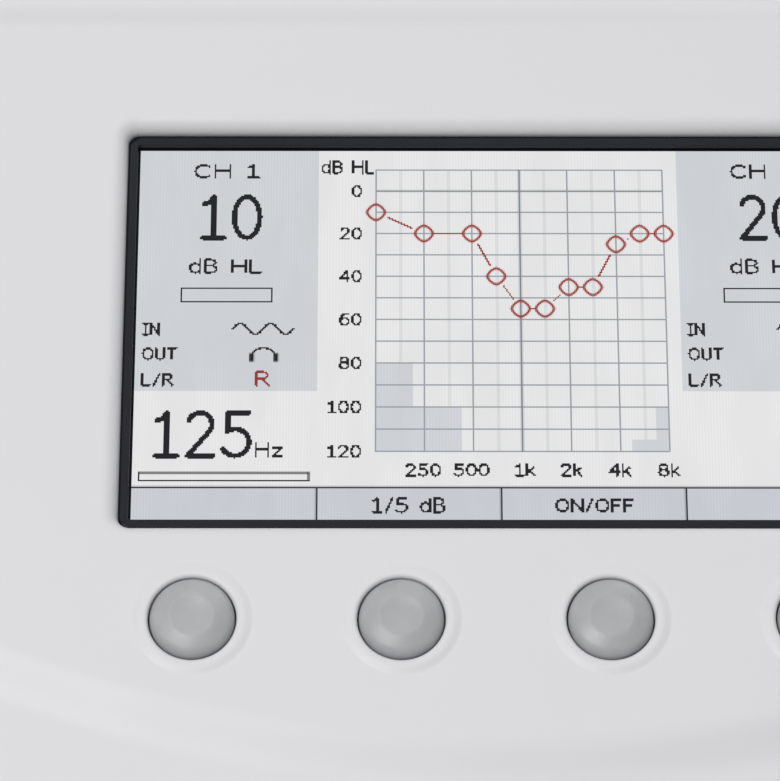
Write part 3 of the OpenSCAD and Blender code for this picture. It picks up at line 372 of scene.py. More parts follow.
def settle(piece, body, slot, *replaced, finish=None, sharp=35):  # scale, finish and mount a piece
    piece.data.transform(Matrix.Scale(mm, 4))
    piece.data.materials.clear()
    piece.data.materials.append(finishes[finish or slot])
    piece.data.polygons.foreach_set("material_index", [0] * len(piece.data.polygons))
    piece.data.shade_smooth()
    piece.data.set_sharp_from_angle(angle=math.radians(sharp))
    weighted = piece.modifiers.new("evenShading", "WEIGHTED_NORMAL")
    weighted.keep_sharp = True
    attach(piece, body)
    if replaced:
        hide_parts(*replaced)
    return piece


# Geometry Nodes
def newTree(name, sockets):
    tree = bpy.data.node_groups.new(name, "GeometryNodeTree")
    tree.interface.new_socket("Geometry", in_out="INPUT", socket_type="NodeSocketGeometry")
    tree.interface.new_socket("Geometry", in_out="OUTPUT", socket_type="NodeSocketGeometry")
    for label, kind in sockets.items():
        tree.interface.new_socket(label, in_out="INPUT", socket_type="NodeSocket" + kind)
    return tree, tree.nodes.new("NodeGroupInput").outputs, tree.nodes.new("NodeGroupOutput").inputs


def grow(piece, tree, values):  # runs a tree on a piece and keeps the plain mesh
    modifier = piece.modifiers.new(tree.name, "NODES")
    modifier.node_group = tree
    for socket in tree.interface.items_tree:
        if socket.in_out == "INPUT" and socket.name in values:
            modifier[socket.identifier] = values[socket.name]
    piece.data = evaluated(piece)
    piece.modifiers.clear()
    for value in values.values():
        if isinstance(value, bpy.types.Object):
            bpy.data.objects.remove(value)
    return piece


def closeTree(tree, geometry, given, out):  # realized, welded and given its material
    real = addNode(tree, "GeometryNodeRealizeInstances", {"Geometry": geometry}).outputs[0]
    welded = addNode(tree, "GeometryNodeMergeByDistance", {"Geometry": real, "Distance": 0.0005}).outputs[0]
    made = addNode(tree, "GeometryNodeSetMaterial", {"Geometry": welded, "Material": given["Material"]})
    tree.links.new(made.outputs[0], out[0])


def aroundTree():  # copies of one source, turned evenly about the upright axis
    tree, given, out = newTree("repeatAround", {"Source": "Object", "Count": "Int", "Material": "Material"})
    points = addNode(tree, "GeometryNodePoints", {"Count": given["Count"]}).outputs[0]
    step = reckon(tree, "DIVIDE", wholeTurn, given["Count"])
    angle = reckon(tree, "MULTIPLY", addNode(tree, "GeometryNodeInputIndex").outputs[0], step)
    turn = addNode(tree, "ShaderNodeCombineXYZ", {"Z": angle}).outputs[0]
    source = addNode(tree, "GeometryNodeObjectInfo", {"Object": given["Source"]}).outputs["Geometry"]
    copies = addNode(tree, "GeometryNodeInstanceOnPoints", {"Points": points, "Instance": source, "Rotation": turn})
    closeTree(tree, copies.outputs[0], given, out)
    return tree


def spotTree():  # one copy of a source on each point of the piece
    tree, given, out = newTree("repeatOnSpots", {"Source": "Object", "Material": "Material"})
    source = addNode(tree, "GeometryNodeObjectInfo", {"Object": given["Source"]}).outputs["Geometry"]
    copies = addNode(tree, "GeometryNodeInstanceOnPoints", {"Points": given["Geometry"], "Instance": source})
    closeTree(tree, copies.outputs[0], given, out)
    return tree


def perforateTree():  # round holes in rows through a plate
    tree, given, out = newTree("perforate", {"Pitch": "Float", "Reach": "Float", "Hole": "Float",
                                             "Material": "Material"})
    half = reckon(tree, "MULTIPLY", given["Pitch"], 0.5)
    rise = reckon(tree, "MULTIPLY", given["Pitch"], math.sqrt(3) / 2)
    along = addNode(tree, "ShaderNodeCombineXYZ", {"X": given["Pitch"]}).outputs[0]
    across = addNode(tree, "ShaderNodeCombineXYZ", {"X": half, "Y": rise}).outputs[0]
    lines, most = [], 6  # holes in a row on each side of the middle, before the rim cuts them off
    for step in (along, across):
        start = addNode(tree, "ShaderNodeVectorMath", {0: step, "Scale": -float(most)}, operation="SCALE").outputs[0]
        lines.append(addNode(tree, "GeometryNodeMeshLine", {"Count": 2 * most + 1, "Start Location": start,
                                                            "Offset": step}))
    rows = addNode(tree, "GeometryNodeInstanceOnPoints", {"Points": lines[0].outputs[0],
                                                          "Instance": lines[1].outputs[0]}).outputs[0]
    spots = addNode(tree, "GeometryNodeRealizeInstances", {"Geometry": rows}).outputs[0]
    place = addNode(tree, "GeometryNodeInputPosition").outputs[0]
    far = addNode(tree, "ShaderNodeVectorMath", {0: place}, operation="LENGTH").outputs["Value"]
    outside = addNode(tree, "FunctionNodeCompare", {0: far, 1: given["Reach"]}, operation="GREATER_THAN").outputs[0]
    kept = addNode(tree, "GeometryNodeDeleteGeometry", {"Geometry": spots, "Selection": outside}).outputs[0]
    drill = addNode(tree, "GeometryNodeMeshCylinder", {"Vertices": 16, "Radius": given["Hole"], "Depth": 8.0})
    drills = addNode(tree, "GeometryNodeInstanceOnPoints", {"Points": kept, "Instance": drill.outputs["Mesh"]})
    real = addNode(tree, "GeometryNodeRealizeInstances", {"Geometry": drills.outputs[0]}).outputs[0]
    cut = addNode(tree, "GeometryNodeMeshBoolean", {"Mesh 1": given["Geometry"], "Mesh 2": real},
                  operation="DIFFERENCE", solver="EXACT").outputs[0]
    closeTree(tree, cut, given, out)
    return tree


aroundCopies, spotCopies, perforate = aroundTree(), spotTree(), perforateTree()

# Case
case = {
    "width": 300, "depth": 240, "front": 38, "seam": 24, "low": 3, "wall": 2.5, "corner": 26, "edge": 8, "base": 6,
    "tilt": 10, "draft": 3, "bow": 10, "grooveHeight": 0.9, "grooveDepth": 0.6, "cornerSteps": 18, "frontSteps": 28,
    "rollSteps": 12,
}
slope = math.radians(case["tilt"])
wall = case["wall"]
through = (-wall - 1, 1)  # from below the deck's wall to above it
steep, flatness = math.tan(slope), math.cos(slope)
draftRise = math.tan(math.radians(case["draft"]))
halfW = case["width"] / 2 - case["corner"]
halfD = case["depth"] / 2 - case["corner"]
outline = []
for quarter, (sx, sy) in enumerate(((1, -1), (1, 1), (-1, 1), (-1, -1))):
    for step in range(case["cornerSteps"] + 1):
        angle = math.radians(90 * (quarter - 1 + step / case["cornerSteps"]))
        outline.append((sx * halfW, sy * halfD, math.cos(angle), math.sin(angle)))
for step in range(1, case["frontSteps"]):
    outline.append((halfW * (2 * step / case["frontSteps"] - 1), -halfD, 0, -1))
outline = np.array(outline)


def outlineAt(inset):
    reach = case["corner"] - np.asarray(inset, float).reshape(-1, 1)
    edge = outline[:, :2] + outline[:, 2:] * reach
    bowed = case["bow"] * (2 * edge[:, 0] / case["width"]) ** 2 * (0.5 - edge[:, 1] / case["depth"])
    return np.column_stack([edge[:, 0], edge[:, 1] + bowed])


def levelRing(z, inset):
    return np.column_stack([outlineAt(inset), np.full(len(outline), z)])


def deckHeight(y):
    return case["front"] + (y + case["depth"] / 2) * steep


def rollRing(inset, lift, radius, angle):  # one ring of the rounding between the walls and the deck
    shoulder = deckHeight(outlineAt(inset)[:, 1]) + lift - radius
    edge = outlineAt(inset + (shoulder - case["seam"]) * draftRise + radius * (1 - math.cos(angle)))
    return np.column_stack([edge, deckHeight(edge[:, 1]) + lift - radius * (1 - math.sin(angle))])


def deckBlock(inset, lift, radius, low):
    angles = np.linspace(0, math.pi / 2, case["rollSteps"] + 1)
    return skin([levelRing(low, inset)] + [rollRing(inset, lift, radius, angle) for angle in angles])


island = {"step": 1.8, "radius": 170, "front": 57, "side": 135, "back": 48.8, "ramp": 5, "softRamp": 7.6, "middle": 10,
          "blend": 14, "rampSteps": 14, "steps": 240, "pocket": (-1.5, 9, 5)}


def islandRing(grow, h):  # grow is how far it reaches past the front, and stays short of the sides and the back
    angles = (np.arange(island["steps"]) + 0.5) * wholeTurn / island["steps"]
    sine, cosine = np.sin(angles), np.cos(angles)
    drop = island["radius"] - island["front"] - island["middle"]
    toFront = drop * sine + np.sqrt((island["radius"] + grow[0]) ** 2 - (drop * cosine) ** 2)
    toSide = (island["side"] - grow[1]) / np.abs(cosine)
    toBack = (island["back"] - grow[2] - island["middle"]) / np.maximum(sine, 0.01)
    out = sum(reach ** -island["blend"] for reach in (toFront, toSide, toBack)) ** (-1 / island["blend"])
    return onDeck(np.column_stack([out * cosine, out * sine + island["middle"], np.full(len(out), h)]))


def rampRing(part):
    rise = island["step"] * (part * part * (3 - 2 * part) - 1) - (0.001 if part == 0 else 0)
    return islandRing((island["softRamp"] * (1 - part), island["ramp"] * part, island["ramp"] * part), rise)


window = {"width": 99, "depth": 57.4, "corner": 1.6, "lip": 2.1, "steps": 12}


def rectRing(width, depth, corner, h, shift=0, steps=8):
    points = []
    for quarter, (sx, sy) in enumerate(((1, 1), (-1, 1), (-1, -1), (1, -1))):
        for step in range(steps + 1):
            angle = math.radians(90 * (quarter + step / steps))
            points.append((shift + sx * (width / 2 - corner) + corner * math.cos(angle),
                           sy * (depth / 2 - corner) + corner * math.sin(angle), h))
    return np.array(points)


def windowRing(grow, h):
    return rectRing(window["width"] + 2 * grow, window["depth"] + 2 * grow, window["corner"] + grow, h)


def windowTool():
    lip, rings = window["lip"], [windowRing(0, through[0])]
    for angle in np.linspace(0, math.pi / 2, window["steps"] + 1):
        rings.append(windowRing(lip * (1 - math.cos(angle)), 0.002 - lip * (1 - math.sin(angle))))
    points, faces = skin(rings + [windowRing(lip, through[1])])
    return onDeck(points), faces


def pillRing(length, width, h, steps=20):
    points = []
    for side in (1, -1):
        for step in range(steps + 1):
            angle = math.radians(side * 90 - 90 + 180 * step / steps - 90)
            points.append((side * (length - width) / 2 + width / 2 * math.cos(angle),
                           width / 2 * math.sin(angle), h))
    return np.array(points)


def pillSolid(rows, spot):  # rows of growth and height around the tone key's own outline
    points, faces = skin([pillRing(tone["length"] + 2 * grow, tone["width"] + 2 * grow, h) for grow, h in rows])
    return onDeck(points, spot), faces


softKeys = ["softkey_1", "softkey_2", "softkey_3", "softkey_4"]
sideKeys = ["ch1_input_key", "ch1_output_key", "ch1_side_key", "ch2_input_key", "ch2_output_key", "ch2_side_key",
            "freq_down_key", "freq_up_key", "store_key"]
dome = {"height": 1.9, "radius": 5.4, "edge": 0.45, "dimple": 0.68, "dimpleBall": 12.19, "gap": 0.45, "collar": 2.0,
        "mound": 0.3, "flange": 7.1, "flangeTop": -2.65, "flangeLow": -3.85, "stem": 2, "stemEnd": 7.05,
        "rounding": 1.6, "lip": 0.55, "closeGap": 0.2, "cut": 0.9, "softEdge": 0.045}
keySpots = {node: deckSpot(node, dome["stemEnd"]) for node in softKeys + sideKeys}
tone = {"length": 50, "width": 18, "gap": 0.45, "stemOut": 12.5}
toneSpots = {node: deckSpot(node, dome["stemEnd"]) for node in ("ch1_tone_key", "ch2_tone_key")}
knob = {"top": 18.8, "low": 0.8, "skirt": 22.6, "skirtTop": 2.6, "core": 20.5, "crownIn": 1.5, "crownDrop": 3,
        "hollow": 9, "hollowTop": 6.0, "hub": 3.02, "shaftTop": 15.25, "markOut": 11.96, "markBall": 12,
        "markDeep": 1.6, "skirtRound": 0.4, "skirtCut": 0.25, "softEdge": 0.06}
knobSpots = {node: deckSpot(node, -knob["low"]) for node in ("ch1_knob", "ch2_knob")}
# Radii of the holes, then radii and levels of the posts and what is drilled into them
holes = {"bushing": 4.6, "lamp": 1.6, "grille": 18.2, "mic": 3.15, "foot": 9.05}
posts = {"case": 4.2, "upperLow": 26, "lowerTop": 25.95, "insert": 2.35, "insertTop": 32, "bolt": 1.6, "boltTop": 35.9,
         "head": 3.1, "headTop": 6, "shank": 1.7, "slim": 3, "boardTop": 12.4, "pilot": 1.1, "pilotDeep": 5}
rearOpening = {"side": 112, "front": 108, "back": 121, "low": 9, "high": 32, "overlap": 1}
panelRib = {"x": 113, "half": 2, "front": 111.75, "back": 113.75, "top": 22.75}


def collarRing(spot):  # a low mound around a key's hole, and the hole's wall
    inner, outer = dome["radius"] + dome["closeGap"], dome["radius"] + dome["gap"] + dome["collar"]
    sunk = 0.01  # so that it merges with the deck
    rows = [(inner, 0.2 - wall), (outer, -1.0), (outer, -sunk)]
    for part in np.linspace(0, 1, 11)[1:]:
        radius = outer - (outer - inner - dome["lip"]) * part
        rows.append((radius, dome["mound"] * 0.5 * (1 - math.cos(math.pi * min(1, part * 1.25))) - sunk))
    rows += roundCorner((inner + dome["lip"], dome["mound"] - sunk - dome["lip"]), dome["lip"], 100, 180, 7)
    points, faces = revolve(rows, 72)
    return onDeck(points, spot), faces


def openingBox(low, high):  # what the rear panel's opening takes out of a shell
    side, front, back = rearOpening["side"], rearOpening["front"], rearOpening["back"]
    return boxSolid((-side, front, low), (side, back, high))


def topShell():
    piece = makePiece("topShell", *deckBlock(0, 0, case["edge"], case["seam"]))
    foot = islandRing((island["softRamp"], 0, 0), -island["step"] - wall / 2)
    steps = np.linspace(0, 1, island["rampSteps"] + 1)
    combine(piece, [skin([foot] + [rampRing(part) for part in steps])], "UNION")
    pocket = skin([islandRing(island["pocket"], h) for h in (-island["step"] - wall - 1, -wall)])
    combine(piece, [deckBlock(wall, -wall / flatness, case["edge"] - wall, case["seam"] - 1)], "DIFFERENCE")
    combine(piece, [pocket], "DIFFERENCE")
    made = [post(p, posts["case"], posts["upperLow"], deckHeight(p[1]) - 1) for p in casePosts]
    made += [rod(p[:3], posts["slim"], -p[3], -wall / 2, 32) for p in hungPosts]
    combine(piece, made, "UNION")
    flare = [(0, through[0]), (0, -0.7), (0.08, -0.35), (0.25, -0.12), (0.6, 0.002), (0.6, through[1])]
    flare = [(tone["gap"] + wider, h) for wider, h in flare]  # the tone keys' holes, wider at the top
    tools = [windowTool(), openingBox(case["seam"] - rearOpening["overlap"], rearOpening["high"])]
    tools += [rod(spot, dome["radius"] + dome["cut"], *through, 72) for spot in keySpots.values()]
    tools += [pillSolid(flare, spot) for spot in toneSpots.values()]
    tools += [rod(spot, holes["bushing"], *through) for spot in knobSpots.values()]
    tools += [rod(spot, holes["lamp"], *through) for spot in lampSpots]
    tools.append(rod(grilleSpot, holes["grille"], *through, 96))
    tools.append(rod(micSpot, holes["mic"], *through))
    tools += [rod(p[:3], posts["pilot"], -p[3] - 1, -p[3] + posts["pilotDeep"], 24) for p in hungPosts]
    for p in casePosts:
        tools.append(post(p, posts["insert"], posts["upperLow"] - 1, posts["insertTop"]))
        tools.append(post(p, posts["bolt"], posts["upperLow"] - 2, posts["boltTop"]))
    combine(piece, tools, "DIFFERENCE")
    combine(piece, [collarRing(spot) for spot in keySpots.values()], "UNION")
    return settle(piece, "case", "case_plastic", "top_shell")


def bottomShell():
    base = (case["seam"] - case["low"] - case["base"]) * draftRise

    def tray(z, inset, radius, rings):
        angles = np.linspace(0, math.pi / 2, case["rollSteps"] + 1)
        return skin([levelRing(z + radius * (1 - math.cos(a)), inset + base + radius * (1 - math.sin(a)))
                     for a in angles] + rings)

    top, seam = case["seam"] - case["grooveHeight"], case["seam"]
    piece = makePiece("bottomShell", *tray(case["low"], 0, case["base"], [
        levelRing(top, 0), levelRing(top + 0.1, case["grooveDepth"]), levelRing(seam, case["grooveDepth"])]))
    combine(piece, [tray(case["low"] + wall, wall, case["base"] - wall, [levelRing(seam + 1, wall)])], "DIFFERENCE")
    floorTop = case["low"] + wall / 2
    made = [post(p, posts["case"], floorTop, posts["lowerTop"]) for p in casePosts]
    made += [post(p, posts["slim"], floorTop, posts["boardTop"]) for p in mainPosts]
    for x in (-panelRib["x"], panelRib["x"]):
        made.append(boxSolid((x - panelRib["half"], panelRib["front"], floorTop),
                             (x + panelRib["half"], panelRib["back"], panelRib["top"])))
    combine(piece, made, "UNION")
    below, boardTop = case["low"] - 1, posts["boardTop"]
    tools = [openingBox(rearOpening["low"], seam + rearOpening["overlap"])]
    for p in casePosts:
        tools.append(post(p, posts["head"], below, posts["headTop"]))
        tools.append(post(p, posts["shank"], below, posts["upperLow"] + 1))
    tools += [post(p, posts["pilot"], boardTop - posts["pilotDeep"], boardTop + 1, 24) for p in mainPosts]
    tools += [post(p, holes["foot"], below, case["low"] + 1, 64) for p in footSpots]
    combine(piece, tools, "DIFFERENCE")
    return settle(piece, "case", "case_plastic", "bottom_shell")


casePosts = [(-132, -88), (132, -88), (0, -109), (-132, 98), (132, 98)]
mainPosts = [(-110, -8), (110, -8), (0, -8), (-110, 76), (110, 76)]
footSpots = [(-112, -90), (112, -90), (-112, 90), (112, 90)]
bracketSpot = deckBox("lcd_bracket")
earU, earV = bracketSpot[1][0] - 3, bracketSpot[1][1] - 3  # the holes in the bracket's ears, in from its corners
# Posts that hang from the deck: right, up the slope, level of the deck there, length
hungPosts = [(u, -41.8, 0, 10) for u in (-26.4, 0, 26.4)]
hungPosts += [(su * earU, sv * earV, 0, -bracketSpot[1][2]) for su in (-1, 1) for sv in (-1, 1)]
hungPosts += [(u, v, -1.8, 10) for u, v in ((-116, -82), (116, -82), (-116, -158), (116, -158), (0, -82), (-22, -152),
                                          (22, -152))]
lampFlange = 2.5
lampLow, lampHigh = deckBox("tone_lamps")
lampSpots = [(side * (lampHigh[0] - lampFlange), (lampLow[1] + lampHigh[1]) / 2, -island["step"]) for side in (-1, 1)]
grilleSpot = deckSpot("speaker_grille", 3.5)  # how far its lowest point lies under the deck
micSpot = deckSpot("talkover_mic", 8.5)
topShell()
bottomShell()
print("case made")


# Screen frame: a glossy black land with fine bevels
def screenFrame():  # each ring's width, depth, corner, height and shift
    rows = [(106, 63.4, 1.0, -3.25, 0), (106, 63.4, 1.0, -2.55, 0), (98.7, 57.1, 1.45, -2.55, 0),
            (98.7, 57.1, 1.45, -2.32, 0), (98.6, 57.0, 1.4, -2.24, 0), (98.4, 56.8, 1.3, -2.2, 0),
            (96.3, 54.7, 0.35, -2.2, -0.2), (96.08, 54.48, 0.24, -2.23, -0.2), (96, 54.4, 0.2, -2.32, -0.2),
            (96, 54.4, 0.2, -3.25, -0.2)]
    points, faces = hoop([rectRing(w, d, r, h, shift, 5) for w, d, r, h, shift in rows])
    settle(makePiece("screenFrame", onDeck(points), faces), "case", "black_gloss", "screen_bezel")


screenFrame()

# Screen picture: lettering and lines painted on a grid of screen dots, then joined into flat tiles
screen = {
    "columns": 480, "rows": 272, "width": 95.04, "height": 53.86, "shift": 0.4, "steps": 128, "under": 0.27,
    "paper": (229, 229, 230), "panel": (206, 209, 213), "bar": (200, 204, 209), "ink": (26, 26, 30),
    "grid": (152, 157, 166), "gridDark": (124, 129, 138), "gridPale": (203, 205, 210), "zone": (206, 209, 214),
    "trace": (148, 52, 45), "rim": (4, 4, 6),
}
columns, rows = screen["columns"], screen["rows"]
columnAt, rowAt = np.meshgrid(np.arange(columns) + 0.5, np.arange(rows) + 0.5)
picture = np.ones((rows, columns, 3)) * screen["paper"]


def paint(cover, colour):
    picture[:] += cover[..., None] * (np.array(screen[colour]) - picture)


def paintBox(colour, left, top, right, bottom):
    across = np.clip(np.minimum(columnAt + 0.5, right) - np.maximum(columnAt - 0.5, left), 0, 1)
    down = np.clip(np.minimum(rowAt + 0.5, bottom) - np.maximum(rowAt - 0.5, top), 0, 1)
    paint(across * down, colour)


def paintLines(colour, lines, width, crisp=True):  # strokes of a width, on whole dots where crisp
    away = np.full((rows, columns), 99.0)
    for line in lines:
        for start, end in zip(np.array(line, float), np.array(line, float)[1:]):
            x0, y0 = np.maximum(np.minimum(start, end) - width - 1, 0).astype(int)
            x1, y1 = (np.maximum(start, end) + width + 2).astype(int)
            along, window = end - start, (slice(y0, y1), slice(x0, x1))
            across, down = columnAt[window] - start[0], rowAt[window] - start[1]
            part = np.clip((across * along[0] + down * along[1]) / max(along @ along, 1e-9), 0, 1)
            reach = np.hypot(across - part * along[0], down - part * along[1])
            away[window] = np.minimum(away[window], reach)
    paint((away < width / 2 + 0.05) * 1.0 if crisp else np.clip(width / 2 + 0.5 - away, 0, 1), colour)


def paintFrame(colour, left, top, right, bottom, width=1.0):
    for box in ((left, top, right, top + width), (left, bottom - width, right, bottom),
                (left, top, left + width, bottom), (right - width, top, right, bottom)):
        paintBox(colour, *box)


def paintMarker(column, row):
    away = (np.abs(columnAt - column) ** 1.5 + np.abs(rowAt - row) ** 1.5) ** (1 / 1.5)
    paint(np.clip(1.35 - np.abs(away - 6), 0, 1), "trace")


def arc(x, y, wide, high, start=0, end=360):
    angles = np.radians(np.linspace(start, end, 25))
    return [(x + wide * math.cos(a), y + high * math.sin(a)) for a in angles]


# Lettering as strokes in a box of one by one, with each letter's width as a share of its height
letters = {
    "0": (0.6, [arc(0.5, 0.5, 0.5, 0.5)]),
    "1": (0.5, [[(0.06, 0.82), (0.32, 0.86), (0.52, 1), (0.52, 0)], [(0.02, 0), (1, 0)]]),
    "2": (0.6, [arc(0.48, 0.73, 0.46, 0.27, 160, -35) + [(0.02, 0), (1, 0)]]),
    "4": (0.64, [[(0.75, 0), (0.75, 1), (0, 0.32), (1, 0.32)]]),
    "5": (0.6, [[(0.94, 1), (0.16, 1), (0.14, 0.57)] + arc(0.44, 0.31, 0.54, 0.31, 122, -150)]),
    "6": (0.6, [arc(0.5, 0.31, 0.5, 0.31), arc(0.66, 0.36, 0.66, 0.64, 180, 72)]),
    "8": (0.6, [arc(0.5, 0.76, 0.43, 0.24), arc(0.5, 0.27, 0.5, 0.27)]),
    "/": (0.35, [[(0, 0), (1, 1)]]),
    " ": (0.3, []),
    "B": (0.56, [[(0, 1)] + arc(0.5, 0.77, 0.4, 0.23, 90, -90) + [(0, 0.54)],
                 [(0, 1), (0, 0)] + arc(0.5, 0.27, 0.5, 0.27, -90, 90)]),
    "C": (0.64, [arc(0.56, 0.5, 0.56, 0.5, 48, 312)]),
    "F": (0.5, [[(0, 0), (0, 1), (1, 1)], [(0, 0.53), (0.85, 0.53)]]),
    "H": (0.64, [[(0, 0), (0, 1)], [(1, 0), (1, 1)], [(0, 0.53), (1, 0.53)]]),
    "I": (0.34, [[(0.5, 0), (0.5, 1)], [(0, 0), (1, 0)], [(0, 1), (1, 1)]]),
    "L": (0.48, [[(0, 1), (0, 0), (1, 0)]]),
    "N": (0.64, [[(0, 0), (0, 1), (1, 0), (1, 1)]]),
    "O": (0.72, [arc(0.5, 0.5, 0.5, 0.5)]),
    "R": (0.58, [[(0, 0), (0, 1)] + arc(0.45, 0.76, 0.45, 0.24, 90, -90) + [(0, 0.52)], [(0.45, 0.52), (1, 0)]]),
    "T": (0.62, [[(0, 1), (1, 1)], [(0.5, 1), (0.5, 0)]]),
    "U": (0.62, [[(0, 1)] + arc(0.5, 0.34, 0.5, 0.34, 180, 360) + [(1, 1)]]),
    "d": (0.5, [[(1, 1), (1, 0)], arc(0.5, 0.35, 0.5, 0.35)]),
    "k": (0.5, [[(0, 1), (0, 0)], [(0.85, 0.7), (0, 0.28)], [(0.35, 0.45), (0.95, 0)]]),
    "z": (0.46, [[(0, 0.68), (1, 0.68), (0, 0), (1, 0)]]),
}


def paintText(text, left, top, right, bottom, width=1.5, colour="ink"):
    gap, at, lines = 0.24, 0.0, []
    for letter in text:
        wide, strokes = letters[letter]
        lines += [[(at + x * wide, y) for x, y in stroke] for stroke in strokes]
        at += wide + gap
    stretch = (right - left - width) / (at - gap)
    rise = bottom - top - width
    placed = [[(left + width / 2 + x * stretch, bottom - width / 2 - y * rise) for x, y in line] for line in lines]
    paintLines(colour, placed, width)


def levelPanel(left, channel, level, side):  # one channel's panel
    middle = left + 60
    paintBox("panel", left, 0, left + 120, 179)
    paintText("CH " + channel, middle - 23.5, 10, middle + 20.5, 21)
    paintText(level, left + 41, 33, left + 82.5, 67.5, 3.5)
    paintText("dB HL", left + 34, 81.5, left + 82.5, 92.5)
    paintFrame("ink", left + 29, 103, left + 90, 114)
    for text, width, top, bottom in (("IN", 11.5, 129, 138.5), ("OUT", 23, 147, 156.5), ("L/R", 21, 166, 175.5)):
        paintText(text, left + 4.5, top, left + 4.5 + width, bottom)
    wave = [(left + 64 + step * 2, 133.5 - 4.2 * math.sin(step * wholeTurn / 10)) for step in range(21)]
    paintLines("ink", [wave, arc(left + 84.5, 155, 8, -7.5, 0, 180)], 1.4)
    for ear in (-8, 8):
        paintBox("ink", left + 83.2 + ear, 151.5, left + 86.2 + ear, 157.5)
    paintText(side, left + 79.5, 164.5, left + 89, 175.5, 1.5, "trace")


def audiogram():
    left, right, top, bottom, perDecibel = 158, 350.5, 14, 222.5, 1.6
    zero = 30.5
    for zone in ((158, 158, 183, 222), (158, 190, 215, 222), (342, 190, 351, 222), (326, 214, 342, 222)):
        paintBox("zone", *zone)
    for column in (174.5, 206.5, 238.5, 270.5, 302.5, 334.5):
        paintBox("gridPale", column, top, column + 1, bottom)
    for tens in range(-1, 13):
        row = zero + tens * 16
        paintBox("gridDark" if tens == 0 else "grid", left, row - (0.6 if tens == 0 else 0.5), right,
                 row + (0.6 if tens == 0 else 0.5))
    for index, column in enumerate((158, 190, 222, 254, 286, 318, 350)):
        heavy = index == 3
        paintBox("gridDark" if heavy else "grid", column - 0.2 * heavy, top, column + 1 + 0.2 * heavy, bottom)
    paintText("dB HL", 121.7, 7, 157.4, 17.5)
    for tens, width in ((0, 7), (2, 15), (4, 15), (6, 15), (8, 15), (10, 22.5), (12, 22.5)):
        row = zero + tens * 16
        paintText(str(tens * 10), 149.2 - width, row - 4.8, 149.2, row + 4.8)
    for text, column, width in (("250", 189.5, 23.5), ("500", 221, 23.5), ("1k", 256, 14), ("2k", 286.2, 14.5),
                                ("4k", 317.8, 15), ("8k", 349.7, 14.5)):
        paintText(text, column - width / 2, 231, column + width / 2, 240.5)
    heard = ((158.5, 10), (190.5, 20), (222.5, 20), (238.5, 40), (254.5, 55), (270.5, 55), (286.5, 45), (302.5, 45),
             (318.5, 25), (334.5, 20), (350.5, 20))
    marks = [np.array([column, zero + level * perDecibel]) for column, level in heard]
    for start, end in zip(marks, marks[1:]):
        step = (end - start) / np.linalg.norm(end - start)
        level = abs(step[1]) < 0.01
        clear = 6 if level else 8.3
        if level or np.linalg.norm(end - start) > 17:
            paintLines("trace", [(start + step * clear, end - step * clear)], 1.5 if level else 0.9)
    for mark in marks:
        paintMarker(*mark)


def screenPicture():
    levelPanel(0, "1", "10", "R")
    levelPanel(360, "2", "20", "L")
    paintText("125", 13, 193, 78, 227.5, 3.6)
    paintText("Hz", 79.8, 216, 98, 227)
    paintFrame("ink", 4, 237.5, 115.5, 244)
    audiogram()
    paintBox("bar", 0, 249, columns, rows)
    paintBox("ink", 0, 247.8, columns, 249)
    for column in (120, 240, 360):
        paintBox("ink", column - 0.2, 248, column + 1, rows)
    paintText("1/5 dB", 156, 255.5, 204, 266.5)
    paintText("ON/OFF", 275, 256, 326, 266)


def tiles(grid):  # runs of one colour along a row, joined with equal runs in the rows below
    same = np.all(grid[:, 1:] == grid[:, :-1], axis=2)
    grown, done = {}, []
    for row in range(len(grid)):
        breaks = [0, *(np.flatnonzero(~same[row]) + 1), grid.shape[1]]
        runs = {(start, stop, tuple(grid[row, start])) for start, stop in zip(breaks, breaks[1:])}
        done += [(run, begun, row) for run, begun in grown.items() if run not in runs]
        grown = {run: grown.get(run, row) for run in sorted(runs)}
    return done + [(run, begun, len(grid)) for run, begun in grown.items()]


def litScreen():
    screenPicture()
    low, high = deckBox("lcd_glass")
    steps = screen["steps"]
    packed = np.round(picture / 255 * steps).astype(int)
    left, upper = -screen["shift"] - screen["width"] / 2, screen["height"] / 2
    dotWide, dotHigh = screen["width"] / columns, screen["height"] / rows
    boxes = [((left + start * dotWide, upper - end * dotHigh, left + stop * dotWide, upper - begun * dotHigh), colour)
             for (start, stop, colour), begun, end in tiles(packed)]
    rim, bar = (tuple(np.round(np.array(screen[name]) / 255 * steps).astype(int)) for name in ("rim", "bar"))
    right, lower = left + screen["width"], -upper - screen["under"]
    boxes.append(((left, lower, right, -upper), bar))
    boxes += [((low[0], upper, high[0], high[1]), rim), ((low[0], low[1], high[0], lower), rim),
              ((low[0], lower, left, upper), rim), ((right, lower, high[0], upper), rim)]
    points, faces, colours = [], [], []
    for (x0, y0, x1, y1), colour in boxes:
        first = len(points)
        points += [(x0, y0, high[2]), (x1, y0, high[2]), (x1, y1, high[2]), (x0, y1, high[2])]
        faces.append((first, first + 1, first + 2, first + 3))
        colours += [colour] * 4
    first = len(points)
    points += [(x, y, z) for z in (low[2], high[2]) for x, y in
               ((low[0], low[1]), (high[0], low[1]), (high[0], high[1]), (low[0], high[1]))]
    under = [(3, 2, 1, 0), (0, 1, 5, 4), (1, 2, 6, 5), (2, 3, 7, 6), (3, 0, 4, 7)]
    faces += [tuple(first + corner for corner in face) for face in under]
    colours += [rim] * 20
    piece = makePiece("litScreen", onDeck(points), faces)
    shade = np.array(colours) / steps
    linear = np.where(shade > 0.04045, ((shade + 0.055) / 1.055) ** 2.4, shade / 12.92)
    painted = piece.data.color_attributes.new("picture", "FLOAT_COLOR", "CORNER")
    painted.data.foreach_set("color", np.column_stack([linear, np.ones(len(linear))]).ravel())
    settle(piece, "case", "glass", "lcd_glass")
    print("screen picture:", len(faces), "tiles")


litScreen()


